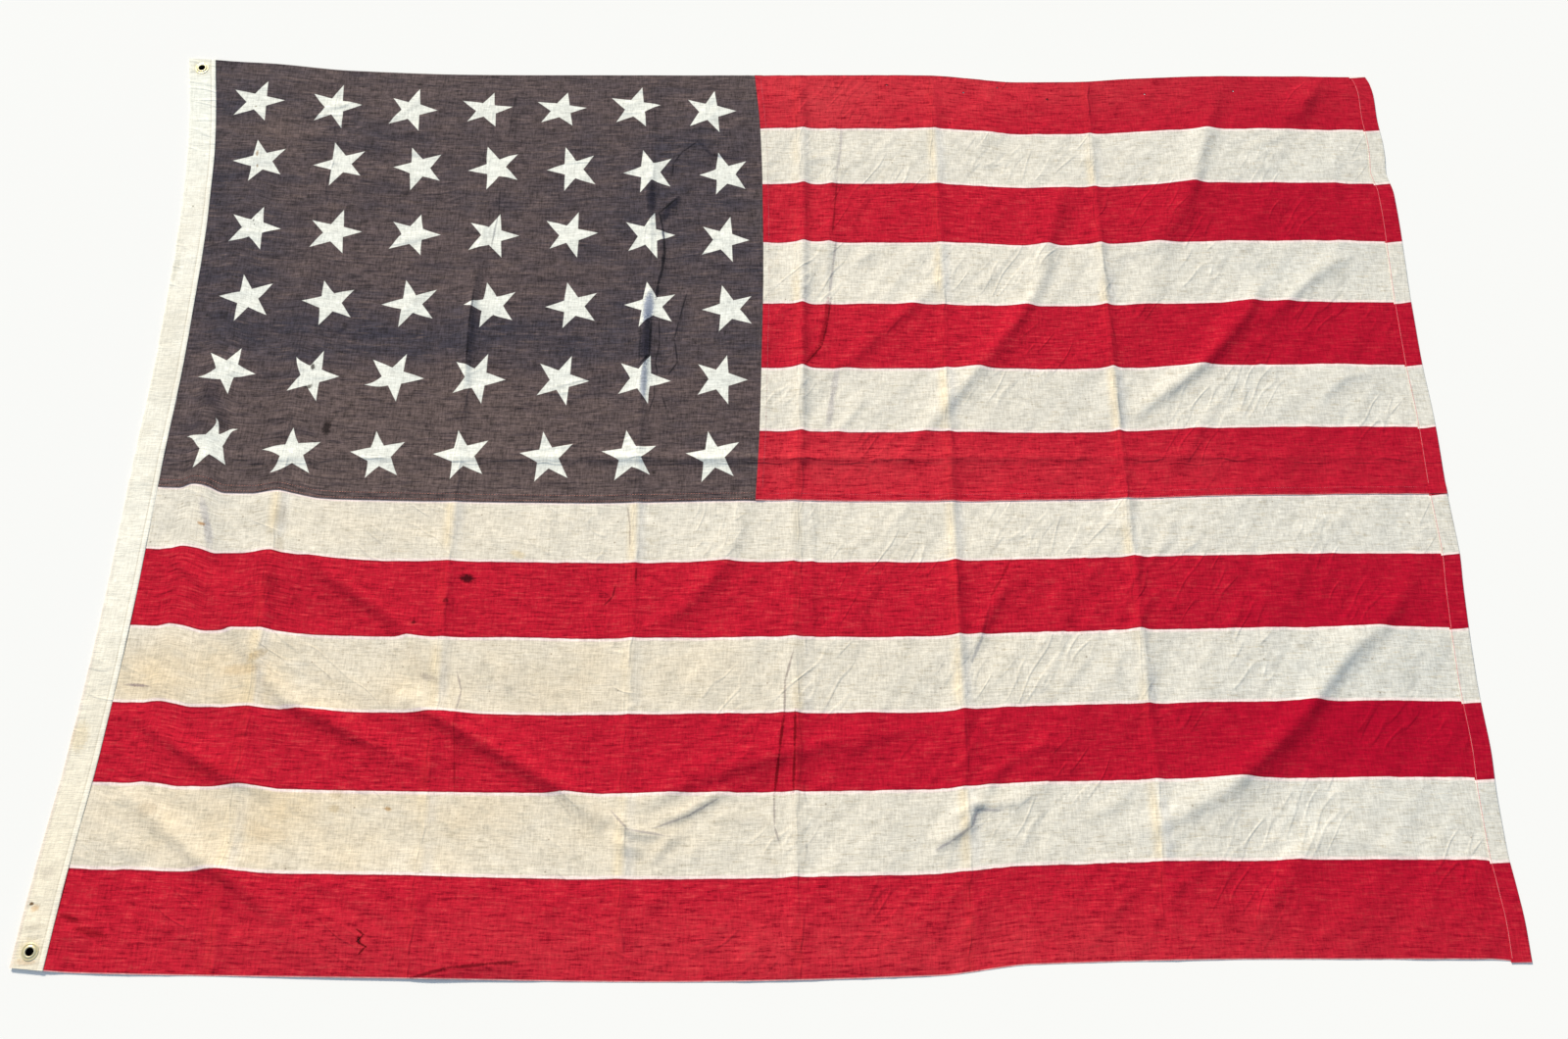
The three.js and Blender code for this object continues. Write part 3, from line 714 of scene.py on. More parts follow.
def cloth_relief(tree, threads, place, sharp):
    """The small wrinkles and pressed creases of a panel, in millimetres, the creases' dirt, and how
    far each place lies to the right of the nearest upright crease, in metres."""
    rising = put(tree, "Mapping", {"Vector": threads, "Rotation": (0, 0, math.radians(-56))})
    falling = put(tree, "Mapping", {"Vector": threads, "Rotation": (0, 0, math.radians(28))})
    by_hoist = put(tree, "Attribute", out=2, attribute_name="by_hoist")
    run = put(tree, "Mix", {0: by_hoist, 4: rising, 5: falling}, out=1, data_type="VECTOR")
    height = use(tree, worn_wrinkles, {"Place": run, "Sharp": sharp})["Height"]
    x, y = split(tree, place)[:2]
    nearest = UPRIGHT_LINES[0]
    for left, right in zip(UPRIGHT_LINES, UPRIGHT_LINES[1:]):
        past_middle = sum_of(tree, "GREATER_THAN", x, (left + right) / 2)
        nearest = sum_of(tree, "MULTIPLY_ADD", past_middle, right - left, nearest)
    leaning = sum_of(tree, "MULTIPLY_ADD", x, 0.0105, 0.0072)
    above = sum_of(tree, "SUBTRACT", y, leaning)
    level = use(tree, pressed_crease, {"Across": above, "Along": x, "Seed": 3.0})
    seed = sum_of(tree, "MULTIPLY", nearest, 40.0)
    beside = sum_of(tree, "SUBTRACT", x, nearest)
    upright = use(tree, pressed_crease, {"Across": beside, "Along": y, "Seed": seed})
    height = sum_of(tree, "ADD", height, sum_of(tree, "ADD", level["Height"], upright["Height"]))
    return height, sum_of(tree, "MAXIMUM", level["Dirt"], upright["Dirt"]), beside


def make_mark():
    """A stain, rub or painted shade at one place on the cloth; hole rims are frayed edges with painted
    shade. Rough moves its edge in and out.
    """
    tree, given = start_group(
        "mark on the cloth",
        [
            ("Place", "place", None), ("Middle", "place", (0, 0, 0)),
            ("Half size", "place", (0.01, 0.01, 1)), ("Turn", "value", 0.0), ("Rough", "value", 0.0),
        ],
        [("Mask", "value")],
    )
    turned = put(tree, "CombineXYZ", {2: given["Turn"]})
    inputs = {"Vector": given["Place"], "Location": given["Middle"], "Rotation": turned}
    local = put(tree, "Mapping", inputs | {"Scale": given["Half size"]}, vector_type="TEXTURE")
    flat = put(tree, "VectorMath", {0: local, 1: (1, 1, 0)}, operation="MULTIPLY")
    away = put(tree, "VectorMath", {0: flat}, out=1, operation="LENGTH")
    away = sum_of(tree, "ADD", away, given["Rough"])
    return end_group(tree, {"Mask": step(tree, away, 0.45, 1.15, 1.0, 0.0)})


mark = make_mark()


def stained_and_shaded(tree, place, colour, marks):
    """The colour with each mark (x, y, half width, half height, turn, stain, strength) on it. The stain
    colour is a real stain on some marks and painted shade on those along folds, wrinkles and holes.
    """
    rough = sum_of(tree, "SUBTRACT", noise(tree, place, 330.0, 3.0, 0.65), 0.5)
    for x, y, half_x, half_y, turn, stain, strength in marks:
        size = (1.15 * half_x * MM, 1.15 * half_y * MM, 1)
        inputs = {"Place": place, "Middle": (x * MM, y * MM, 0), "Half size": size, "Rough": rough}
        mask = use(tree, mark, inputs | {"Turn": math.radians(turn)})["Mask"]
        colour = mixed(tree, sum_of(tree, "MULTIPLY", mask, strength), colour, stain, "MULTIPLY")
    return colour


def strokes(points, half_width, stain, strength):
    """Marks that make a line through the points, one for each length of it."""
    return [
        ((x0 + x1) / 2, (y0 + y1) / 2, math.dist((x0, y0), (x1, y1)) / 2 + half_width, half_width,
         math.degrees(math.atan2(y1 - y0, x1 - x0)), stain, strength)
        for (x0, y0), (x1, y1) in zip(points, points[1:])
    ]


def marks_along(lines):
    """The marks of several lines, each with its points, half width, stain and strength. Most such lines
    are painted shade along folds and wrinkles.
    """
    return [mark for line in lines for mark in strokes(*line)]


def make_specks():
    """Small dark specks of dirt, one in some of the cells of a loose grid."""
    tree, given = start_group(
        "specks",
        [
            ("Place", "place", None), ("Per metre", "value", 20.0), ("Size", "value", 0.02),
            ("Share", "value", 0.4),
        ],
        [("Mask", "value")],
    )
    inputs = {"Vector": given["Place"], "Scale": given["Per metre"]}
    found = put(tree, "TexVoronoi", inputs, voronoi_dimensions="2D").node.outputs
    draws = split(tree, found["Color"])
    size = sum_of(tree, "MULTIPLY", given["Size"], sum_of(tree, "ADD", draws[1], 0.35))
    dot = sum_of(tree, "SUBTRACT", 1.0, sum_of(tree, "DIVIDE", found["Distance"], size), clamp=True)
    here = sum_of(tree, "LESS_THAN", draws[0], given["Share"])
    dot = sum_of(tree, "MULTIPLY", dot, here)
    return end_group(tree, {"Mask": sum_of(tree, "MULTIPLY", dot, 1.6, clamp=True)})


specks = make_specks()


def make_star():
    """A five-pointed star: 1 inside it, for a place seen from its middle with tips at radius 1."""
    tree, given = start_group(
        "cut star", [("Place", "place", None), ("Waist", "value", 0.4)], [("Mask", "value")]
    )
    x, y = split(tree, given["Place"])[:2]
    square = sum_of(tree, "MULTIPLY_ADD", x, x, sum_of(tree, "MULTIPLY", y, y))
    radius = sum_of(tree, "SQRT", square)
    angle = sum_of(tree, "PINGPONG", sum_of(tree, "ARCTAN2", y, x), math.pi / 5)
    forward = sum_of(tree, "MULTIPLY_ADD", radius, sum_of(tree, "COSINE", angle), -1.0)
    sideways = sum_of(tree, "MULTIPLY", radius, sum_of(tree, "SINE", angle))
    inner = sum_of(tree, "MULTIPLY", given["Waist"], math.sin(math.pi / 5))
    back = sum_of(tree, "MULTIPLY_ADD", given["Waist"], -math.cos(math.pi / 5), 1.0)
    edge = sum_of(tree, "MULTIPLY_ADD", forward, inner, sum_of(tree, "MULTIPLY", sideways, back))
    return end_group(tree, {"Mask": step(tree, edge, -0.009, 0.009, 1.0, 0.0)})


cut_star = make_star()


def shaded_by(tree, colour, value, strength=1.0):
    """The colour darkened or lightened by a value about 1."""
    shade = put(tree, "CombineColor", {0: value, 1: value, 2: value})
    return mixed(tree, strength, colour, shade, "MULTIPLY")


def tinted(tree, colour, mask, share, tint):
    """The colour with a share of the tint in it where the mask is 1."""
    return mixed(tree, sum_of(tree, "MULTIPLY", mask, share), colour, tint)


def cloth_material(name, roughness, sheen):
    """A new cloth material: its tree and its Principled shader."""
    material = bpy.data.materials.new(name)
    material.use_nodes = True
    shader = material.node_tree.nodes["Principled BSDF"]
    shader.inputs["Roughness"].default_value = roughness
    shader.inputs["Specular IOR Level"].default_value = 0.1
    shader.inputs["Sheen Weight"].default_value = sheen
    shader.inputs["Sheen Roughness"].default_value = 0.6
    return material, material.node_tree, shader


def finish_cloth(tree, shader, colour, height):
    """Joins a cloth's colour and its relief in millimetres to its shader."""
    tree.links.new(colour, shader.inputs["Base Color"])
    bump = put(tree, "Bump", {"Height": height, "Distance": MM, "Strength": 1.0})
    tree.links.new(bump, shader.inputs["Normal"])


def give(piece, material):
    """Puts one material on a piece that rides on the flag's only body."""
    piece.data.materials.clear()
    piece.data.materials.append(material)
    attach(piece, "root")


CANTON_BROWN = dye(90, 77, 78)
CANTON_BLUE = dye(60, 57, 68)
CANTON_DARK = dye(56, 48, 54)
CANTON_WORN = dye(112, 95, 90)
STAR_WHITE = dye(238, 239, 231)
canton_material, tree, shader = cloth_material("canton_cotton", 0.92, 0.06)
threads = put(tree, "UVMap", uv_map="threads")
place = put(tree, "TexCoord", out=3)
weave = use(tree, plain_weave, {"Threads": threads, "Slubs": 2.2})
relief, dirt, _ = cloth_relief(tree, threads, place, 0.5)
blue = put(tree, "Attribute", out=2, attribute_name="blue")
brown = put(tree, "Attribute", out=2, attribute_name="brown")
drawn = noise(tree, threads, 1.0, 4.0, 0.65, stretch=(9, 60, 1))
patchy = noise(tree, threads, 14.0, 3.0, 0.6)
toward_blue = sum_of(tree, "MULTIPLY_ADD", blue, 0.8, sum_of(tree, "MULTIPLY_ADD", patchy, 1.1, -0.55))
toward_blue = sum_of(tree, "SUBTRACT", toward_blue, 0.7)
toward_blue = sum_of(tree, "MULTIPLY_ADD", drawn, 1.4, toward_blue, clamp=True)
toward_blue = sum_of(tree, "MULTIPLY_ADD", brown, -0.5, toward_blue, clamp=True)
field = tinted(tree, CANTON_BROWN, brown, 0.45, CANTON_WORN)
field = mixed(tree, toward_blue, field, CANTON_BLUE)
streak = noise(tree, threads, 1.0, 3.0, 0.75, stretch=(20, 240, 1), shift=(1.7, 0.4, 0))
field = mixed(tree, step(tree, streak, 0.5, 0.72, 0.0, 0.8), field, CANTON_DARK)
field = mixed(tree, step(tree, streak, 0.46, 0.26, 0.0, 0.6), field, CANTON_WORN)
inside = use(tree, cut_star, {"Place": put(tree, "UVMap", uv_map="stars")})["Mask"]
grey = noise(tree, threads, 30.0, 3.0, 0.6, stretch=(1, 3, 1))
white = mixed(tree, step(tree, grey, 0.5, 0.8, 0.0, 0.35), STAR_WHITE, dye(203, 206, 203))
white = shaded_by(tree, white, weave["Shade"], 0.4)
field = shaded_by(tree, field, weave["Shade"])
field = tinted(tree, field, dirt, 0.25, dye(40, 36, 46))
colour = mixed(tree, inside, field, white)
CANTON_MARKS = [
    (-633, 49, 6, 12, 0, dye(90, 76, 80), 0.85),
    (-632, 201, 6, 3, 20, dye(120, 120, 170), 0.5),
    (-664, 143, 3, 6, 10, dye(70, 60, 60), 0.9),
    (-665, 112, 5, 3, 30, dye(80, 70, 60), 0.8),
    (-792, 500, 2, 5, 0, dye(190, 160, 130), 0.8),
    (-789, 478, 1.5, 3, 0, dye(190, 160, 130), 0.7),
    (-781, 383, 1.5, 1.5, 0, dye(70, 70, 70), 0.8),
    (-779, 376, 1, 1, 0, dye(70, 70, 70), 0.8),
    (-806, 585, 2.5, 1.5, 30, dye(150, 140, 120), 0.7),
    # Painted shade: two blue-grey patches along the ridge that runs down to the seam near the heading.
    (-797, 100, 12, 26, 20, dye(190, 190, 205), 0.7),
    (-777, 60, 10, 22, 30, dye(190, 190, 200), 0.6),
]
# The cloth doubles over on itself along the fold before the last row of stars. Painted shadow in black
# where it goes under, and painted shade in blue-black on the side turned away from the lamp.
FOLD_SHADOW, FOLD_SHADE = dye(120, 122, 138), dye(158, 166, 192)
CANTON_MARKS += marks_along([
    ([(-201, 452), (-199, 406)], 7, FOLD_SHADE, 0.9),
    ([(-160, 428), (-174, 412), (-181, 392)], 5.5, FOLD_SHADE, 0.9),
    ([(-160, 430), (-187, 404), (-182, 384), (-178, 354), (-177, 336)], 1.8, FOLD_SHADOW, 1),
    ([(-177, 336), (-179, 307), (-185, 280), (-186, 261)], 2.6, FOLD_SHADOW, 1),
    ([(-196, 262), (-198, 222), (-199, 160)], 8, FOLD_SHADE, 0.95),
    ([(-192, 224), (-193, 166), (-206, 150)], 1.6, FOLD_SHADOW, 0.9),
    ([(-207, 215), (-207, 152)], 1.4, FOLD_SHADOW, 0.7),
    ([(-199, 150), (-200, 96)], 5, FOLD_SHADE, 0.8),
    ([(-181, 223), (-179, 186), (-184, 155), (-181, 138)], 1.3, FOLD_SHADOW, 0.8),
    ([(-184, 119), (-184, 103), (-190, 79)], 1.3, FOLD_SHADOW, 0.7),
    ([(-173, 103), (-166, 81)], 1.1, FOLD_SHADOW, 0.7),
    ([(-142, 272), (-153, 220), (-158, 192), (-153, 155), (-165, 136)], 1.3, FOLD_SHADOW, 0.85),
    ([(-135, 531), (-156, 512), (-168, 492), (-170, 470)], 1.5, FOLD_SHADOW, 0.8),
    ([(-130, 530), (-112, 508), (-60, 500)], 3.5, FOLD_SHADE, 0.6),
    ([(-449, 150), (-450, 204), (-448, 268)], 1.6, FOLD_SHADOW, 0.8),
    ([(-424, 440), (-424, 402), (-430, 342)], 1.4, FOLD_SHADOW, 0.5),
    ([(-412, 616), (-416, 575), (-418, 527)], 1.4, FOLD_SHADOW, 0.5),
])
colour = stained_and_shaded(tree, place, colour, CANTON_MARKS)
finish_cloth(tree, shader, colour, sum_of(tree, "MULTIPLY_ADD", weave["Height"], 0.5, relief))
give(canton, canton_material)
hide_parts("canton")

# Fly stripes
# The upper striped panel: four red and three white stripes printed on white cotton, with a thin dark
# line where the dye gathered at each edge and a pink bleed beyond it. Its left edge laps over the
# canton, its bottom edge over the lower panel, and its fly end is turned over onto its face and hemmed.
HEM_WIDTH = 25
UPPER_STRIPES = (104, 99, 104, 105, 103, 99, 102)  # widths from the seam up, red first
FLY_COLUMNS, FLY_ROWS = 250, 180
# The hem's section: places from the fold, and heights above the cloth that it is turned over.
HEM_SECTION = [
    (0.3, 0.14), (0.45, 0.4), (0.3, 0.68), (-0.5, 0.85), (-4, 0.8), (-8, 0.78), (-12, 0.78),
    (-16, 0.78), (-20, 0.8), (-23.5, 0.86), (-25, 0.84), (-25.3, 0.62),
]


def with_hem(x, y, z):
    """A panel's points with its hem: columns that go round the fly edge and come back over it. Also
    each point's distance past the edge along the cloth, 0 where it isn't in the hem."""
    extra_x, extra_y, extra_z, past = [], [], [], []
    run, last = 0.0, (0.0, 0.0)
    for place, up in HEM_SECTION:
        run += math.dist((place, up), last)
        last = (place, up)
        row_x = fly(y[:, -1]) + place
        extra_x.append(row_x)
        extra_y.append(y[:, -1])
        extra_z.append(cloth_height(row_x, y[:, -1]) + up)
        past.append(np.full(len(row_x), run))
    whole = [np.column_stack([grid, *extra]) for grid, extra in ((x, extra_x), (y, extra_y), (z, extra_z))]
    return *whole, np.column_stack([np.zeros_like(x), *past])


def stripe_map(x, y, low, high, widths, past=0.0):
    """Metres along the stripes, and the count of stripes from the panel's low edge."""
    count = np.arange(len(widths) + 1)
    share = (y - low(x)) / (high(x) - low(x))
    pull = 0.45 * (chart_at(folds, x, y) - LOFT) * np.clip(8 * np.minimum(share, 1 - share), 0, 1)
    share = (y + 0.12 * past - pull - low(x)) / (high(x) - low(x))
    filled = np.concatenate([[0], np.cumsum(widths)]) / sum(widths)
    beyond = np.minimum(share, 0) / filled[1] + np.maximum(share - 1, 0) / (1 - filled[-2])
    return cells_of(np.stack([(x + 2 * past) * MM, np.interp(share, filled, count) + beyond], -1))


fly_x, fly_y = lay_out(
    canton_seam, fly, middle, top, shares(-37, 916, FLY_COLUMNS, (28, 228, 470)),
    np.linspace(0, 1, FLY_ROWS + 1),
)
FLY_HOLES = [
    (158, 642, 1.0, 2.2, 80), (277, 630, 1.3, 1.3, 0), (330, 640, 1.1, 1.1, 0), (406, 618, 1.5, 1.4, 0),
    (560, 632, 1.2, 1.2, 0), (700, 640, 1.1, 1.3, 0),
]
gone = tear(fly_x, fly_y, FLY_HOLES)
fly_z = cloth_height(fly_x, fly_y) + lap_lift(fly_x, fly_y)
fly_z += LAP_LIFT * (1 - ease(fly_x - canton_seam(fly_y), FLY_LAP, FLY_LAP + 4))
fly_x, fly_y, fly_z, past = with_hem(fly_x, fly_y, fly_z)
fly_z += np.where(past > 0, lap_lift(fly_x, fly_y), 0)
gone = np.column_stack([gone, np.zeros((FLY_ROWS, len(HEM_SECTION)), bool)])

# Soft patches on the stripes: cloth gone tan, cloth gone grey, and dye worn pale. The grey chart also
# rises towards the fly end and at the right of the lower stripes, where it is a painted shade for the
# light falling off there.
tanned = (
    0.9 * blot(-760, -310, 200, 90) + 0.9 * blot(-640, -480, 260, 110) + 0.6 * blot(-380, -300, 220, 80)
    + 0.5 * blot(-250, -480, 260, 90) + 0.35 * blot(-500, -100, 260, 60) + 0.25 * blot(150, -300, 260, 200)
    + 0.3 * blot(-120, -300, 160, 120)
)
greyed_and_shaded = 0.4 * ease(plan_x, 150, 850) + 0.3 * blot(760, 300, 190, 420) + 0.55 * blot(760, -340, 260, 180)
greyed_and_shaded += 0.35 * blot(180, -380, 330, 160)
pale = (
    0.8 * blot(420, 660, 640, 70) + 0.7 * blot(60, 600, 160, 80) + 0.5 * blot(420, 0, 620, 50)
    + 0.5 * blot(60, 0, 140, 60) + 0.6 * blot(350, -640, 600, 60) + 0.35 * blot(-400, -640, 500, 50)
    + 0.2 * blot(20, 400, 90, 260)
)


def stripe_masks(x, y):
    """How tanned, grey and pale each point of a striped panel is, and how near the hoist. The grey
    also holds a painted shade towards the fly end.
    """
    marks = {"tan": tanned, "grey": greyed_and_shaded, "pale": pale, "by_hoist": toward_heading}
    return {label: chart_at(chart, x, y) for label, chart in marks.items()}


fly_stripes = weave_sheet(
    "fly_stripes_cotton_panel",
    np.stack([fly_x, fly_y, fly_z], -1),
    gone,
    {
        "threads": thread_map(fly_x + 2 * past, fly_y, middle, top, CANTON_HEIGHT),
        "stripes": stripe_map(fly_x, fly_y, middle, top, UPPER_STRIPES, past),
    },
    stripe_masks(fly_x, fly_y),
)


def make_stripes():
    """Printed stripes, counted from 0: Red is 1 on the even ones. Line is the dark edge of the dye
    and Bleed the pale fringe beyond it."""
    tree, given = start_group(
        "printed stripes",
        [("Place", "place", None), ("Width", "value", 0.102), ("Odd first", "value", 0.0)],
        [("Red", "value"), ("Line", "value"), ("Bleed", "value")],
    )
    x, count = split(tree, given["Place"])[:2]
    along_edge = put(tree, "CombineXYZ", {0: x, 1: count})
    wander = noise(tree, along_edge, 1.0, 3.0, 0.55, stretch=(40, 5, 1))
    wander = sum_of(tree, "MULTIPLY", sum_of(tree, "SUBTRACT", wander, 0.5), 0.016)
    count = sum_of(tree, "ADD", sum_of(tree, "ADD", count, wander), given["Odd first"])
    near = sum_of(tree, "MULTIPLY", sum_of(tree, "PINGPONG", count, 0.5), given["Width"])
    half = sum_of(tree, "MULTIPLY", count, 0.5)
    red = sum_of(tree, "LESS_THAN", sum_of(tree, "FRACT", half), 0.5)
    signed = sum_of(tree, "MULTIPLY", near, sum_of(tree, "MULTIPLY_ADD", red, 2.0, -1.0))
    soft_red = step(tree, signed, -0.0006, 0.0006)
    line = sum_of(tree, "MULTIPLY", step(tree, signed, 0.0005, 0.0026, 1.0, 0.0), soft_red)
    not_red = sum_of(tree, "SUBTRACT", 1.0, soft_red)
    bleed = sum_of(tree, "MULTIPLY", step(tree, signed, -0.0052, -0.0016), not_red)
    return end_group(tree, {"Red": soft_red, "Line": line, "Bleed": bleed})


printed_stripes = make_stripes()

STRIPE_RED = dye(196, 26, 50)
STRIPE_WHITE = dye(232, 226, 213)


def stripe_material(name, odd_first, marks):
    """The printed cotton of the striped panels, whose count of stripes starts on red or white."""
    material, tree, shader = cloth_material(name, 0.95, 0.0)
    threads = put(tree, "UVMap", uv_map="threads")
    place = put(tree, "TexCoord", out=3)
    weave = use(tree, plain_weave, {"Threads": threads, "Slubs": 0.8})
    relief, dirt, beside = cloth_relief(tree, threads, place, 0.45)
    on_stripes = put(tree, "UVMap", uv_map="stripes")
    stripes = use(tree, printed_stripes, {"Place": on_stripes, "Odd first": odd_first})
    tan, grey, pale = (
        put(tree, "Attribute", out=2, attribute_name=label) for label in ("tan", "grey", "pale")
    )
    patchy = noise(tree, threads, 9.0, 2.0, 0.6)
    mottle = noise(tree, threads, 1.0, 2.0, 0.6, stretch=(30, 60, 1))
    uneven = sum_of(tree, "MULTIPLY_ADD", patchy, 0.9, sum_of(tree, "MULTIPLY", mottle, 0.5))

    cream = mixed(tree, sum_of(tree, "MULTIPLY", tan, uneven), STRIPE_WHITE, dye(233, 211, 175))
    # Grey where the cloth has gone grey, and as a painted shade towards the fly end.
    cream = mixed(tree, sum_of(tree, "MULTIPLY", grey, uneven), cream, dye(214, 215, 210))
    dusty = step(tree, mottle, 0.5, 0.78, 0.0, 0.4)
    cream = mixed(tree, dusty, cream, dye(205, 200, 186))
    slubs = noise(tree, threads, 1.0, 3.0, 0.75, stretch=(30, 310, 1), shift=(5, 2, 0))
    ends = noise(tree, threads, 1.0, 3.0, 0.78, stretch=(330, 70, 1), shift=(2, 9, 0))
    slubs = sum_of(tree, "MULTIPLY_ADD", ends, 0.3, sum_of(tree, "MULTIPLY", slubs, 0.7))
    cream = mixed(tree, step(tree, slubs, 0.53, 0.68, 0.0, 0.6), cream, dye(196, 184, 160))
    # Painted highlight and painted shade beside each upright crease: cream before its crest, on the side
    # towards the lamp, and blue-grey just past it, in broken patches.
    here = step(tree, patchy, 0.34, 0.62, 0.1, 1.0)
    before_crest = step(tree, beside, -0.005, 0.002, here, 0.0)
    lit = sum_of(tree, "MULTIPLY", step(tree, beside, -0.018, -0.006), before_crest)
    past_crest = step(tree, beside, 0.0, 0.005)
    shaded = sum_of(tree, "MULTIPLY", past_crest, step(tree, beside, 0.006, 0.02, here, 0.0))
    cream = tinted(tree, cream, lit, 0.42, dye(244, 222, 180))
    cream = tinted(tree, cream, shaded, 0.25, dye(206, 209, 216))
    specked = use(tree, specks, {"Place": place, "Per metre": 26.0, "Size": 0.034, "Share": 0.4})["Mask"]
    cream = tinted(tree, cream, specked, 0.55, dye(120, 96, 70))
    cream = mixed(tree, stripes["Bleed"], cream, dye(252, 232, 228))

    red = mixed(tree, sum_of(tree, "MULTIPLY", pale, uneven, clamp=True), STRIPE_RED, dye(207, 58, 68))
    red = mixed(tree, step(tree, slubs, 0.5, 0.66, 0.0, 0.95), red, dye(146, 10, 34))
    red = mixed(tree, step(tree, slubs, 0.32, 0.48, 0.75, 0.0), red, dye(218, 66, 72))
    # The same painted highlight and painted shade beside the creases, on the red.
    red = tinted(tree, red, lit, 0.25, dye(222, 50, 56))
    red = tinted(tree, red, shaded, 0.25, dye(160, 6, 40))
    red = tinted(tree, red, stripes["Line"], 0.75, dye(140, 16, 44))
    selvage = step(tree, split(tree, on_stripes)[1], 0.007, 0.015, 0.8, 0.0)
    red = mixed(tree, selvage, red, dye(232, 150, 152))
    # The red darkened by the same chart: painted shade towards the fly end, over patches gone grey.
    red = tinted(tree, red, grey, 0.85, dye(168, 0, 40))
    red = tinted(tree, red, dirt, 0.15, dye(130, 10, 36))
    cream = tinted(tree, cream, dirt, 0.12, dye(186, 184, 176))
    colour = mixed(tree, stripes["Red"], cream, red)
    colour = shaded_by(tree, colour, weave["Shade"])
    colour = stained_and_shaded(tree, place, colour, marks)
    finish_cloth(tree, shader, colour, sum_of(tree, "MULTIPLY_ADD", weave["Height"], 0.5, relief))
    return material


# The darker rim round each hole is its frayed edge, darkened further as a painted shade for the shadow
# under the cloth.
FLY_MARKS = [(x, y, 1.7 * a, 1.7 * b, turn, dye(130, 80, 100), 0.7) for x, y, a, b, turn in FLY_HOLES]
FLY_MARKS += marks_along([
    ([(427, 624), (470, 626), (505, 629)], 1, dye(170, 120, 140), 0.6),
    # Painted shade: pink-grey and blue-grey strokes along the crease and wrinkles that run up the flag just
    # right of the canton.
    ([(32, 158), (50, 186), (58, 222), (62, 258)], 4, dye(196, 156, 176), 0.7),
    ([(31, 157), (52, 184), (61, 222), (66, 260)], 1.3, dye(150, 110, 136), 0.7),
    ([(64, 268), (70, 320), (76, 362)], 2.2, dye(206, 204, 212), 0.8),
    ([(70, 372), (74, 420), (78, 464)], 1.6, dye(170, 130, 150), 0.6),
    ([(60, 60), (66, 104), (74, 148)], 5, dye(214, 214, 224), 0.7),
    ([(78, 480), (84, 520), (86, 560)], 2.4, dye(214, 212, 220), 0.7),
])
give(fly_stripes, stripe_material("striped_cotton_upper", 0.0, FLY_MARKS))
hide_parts("fly_stripes")

# Lower stripes
# The panel that runs the whole length of the flag: three white and three red stripes of the same
# printed cotton. Its top edge lies under the seam, its bottom edge is a plain selvage.
LOWER_STRIPES = (119, 104, 100, 101, 105, 87)  # widths from the bottom edge up, red first
LOWER_HEIGHT = 607
LOWER_COLUMNS, LOWER_ROWS = 378, 124
TONGUE = 12  # of cloth under the seam
lower_x, lower_y = lay_out(
    along(hoist, HEADING_WIDTH - TUCK), fly, bottom, middle,
    shares(-864, 912, LOWER_COLUMNS, (-449, -200, 28, 228, 470)), np.linspace(0, 1, LOWER_ROWS + 1),
)
from_heading = lower_x[-3:] - hoist(middle(lower_x[-3:])) - HEADING_WIDTH
under = TONGUE * (1 - ease(lower_x[-3:], 875, 886)) * ease(from_heading, 4, 10) - 0.3
rise = np.array([0.34, 0.67, 1.0])[:, None]
lower_y[-3:] = middle(lower_x[-3:]) - 3 + (under + 3) * rise
LOWER_HOLES = [(-512, -624, 0.5, 4, 10)]
gone = tear(lower_x, lower_y, LOWER_HOLES)
lower_z = cloth_height(lower_x, lower_y)
lower_x, lower_y, lower_z, past = with_hem(lower_x, lower_y, lower_z)
gone = np.column_stack([gone, np.zeros((LOWER_ROWS, len(HEM_SECTION)), bool)])
lower_stripes = weave_sheet(
    "lower_stripes_cotton_panel",
    np.stack([lower_x, lower_y, lower_z], -1),
    gone,
    {
        "threads": thread_map(lower_x + 2 * past, lower_y, bottom, middle, LOWER_HEIGHT),
        "stripes": stripe_map(lower_x, lower_y, bottom, middle, LOWER_STRIPES, past),
    },
    stripe_masks(lower_x, lower_y),
)
# The rim round the hole in the lower panel is likewise a frayed edge with painted shade.
LOWER_MARKS = [(x, y, a + 2, 1.3 * b, turn, dye(150, 90, 110), 0.8) for x, y, a, b, turn in LOWER_HOLES] + [
    (-422, -168, 10, 6, -5, dye(90, 110, 120), 0.95),
    (-447, -199, 4, 3, 0, dye(150, 140, 150), 0.8),
    (-486, -229, 3, 2.5, 0, dye(120, 120, 120), 0.8),
    (-781, -94, 7, 2.2, -20, dye(196, 150, 100), 0.8),
    (-357, -134, 11, 5, -20, dye(240, 220, 176), 0.4),
    # Painted shade: soft grey blotches along the upright crease nearest the heading.
    (-679, -80, 9, 20, 0, dye(214, 210, 204), 0.6),
    (-675, -125, 7, 16, 0, dye(222, 216, 204), 0.5),
    (-678, -178, 11, 16, 0, dye(200, 190, 200), 0.6),
    (-700, -292, 26, 8, 5, dye(232, 216, 190), 0.4),
    (-682, -274, 14, 6, 30, dye(220, 206, 180), 0.6),
    (-461, -302, 12, 4, -15, dye(206, 204, 208), 0.7),
    (-790, -470, 12, 10, 0, dye(226, 222, 218), 0.6),
    (-560, -450, 9, 7, 0, dye(224, 218, 206), 0.6),
    (-495, -469, 5, 2.5, -10, dye(210, 176, 130), 0.8),
    (-561, -469, 7, 5, 0, dye(226, 218, 200), 0.7),
    (-640, -500, 30, 12, -20, dye(232, 218, 194), 0.25),
    (-720, -420, 40, 10, 10, dye(236, 224, 200), 0.25),
]
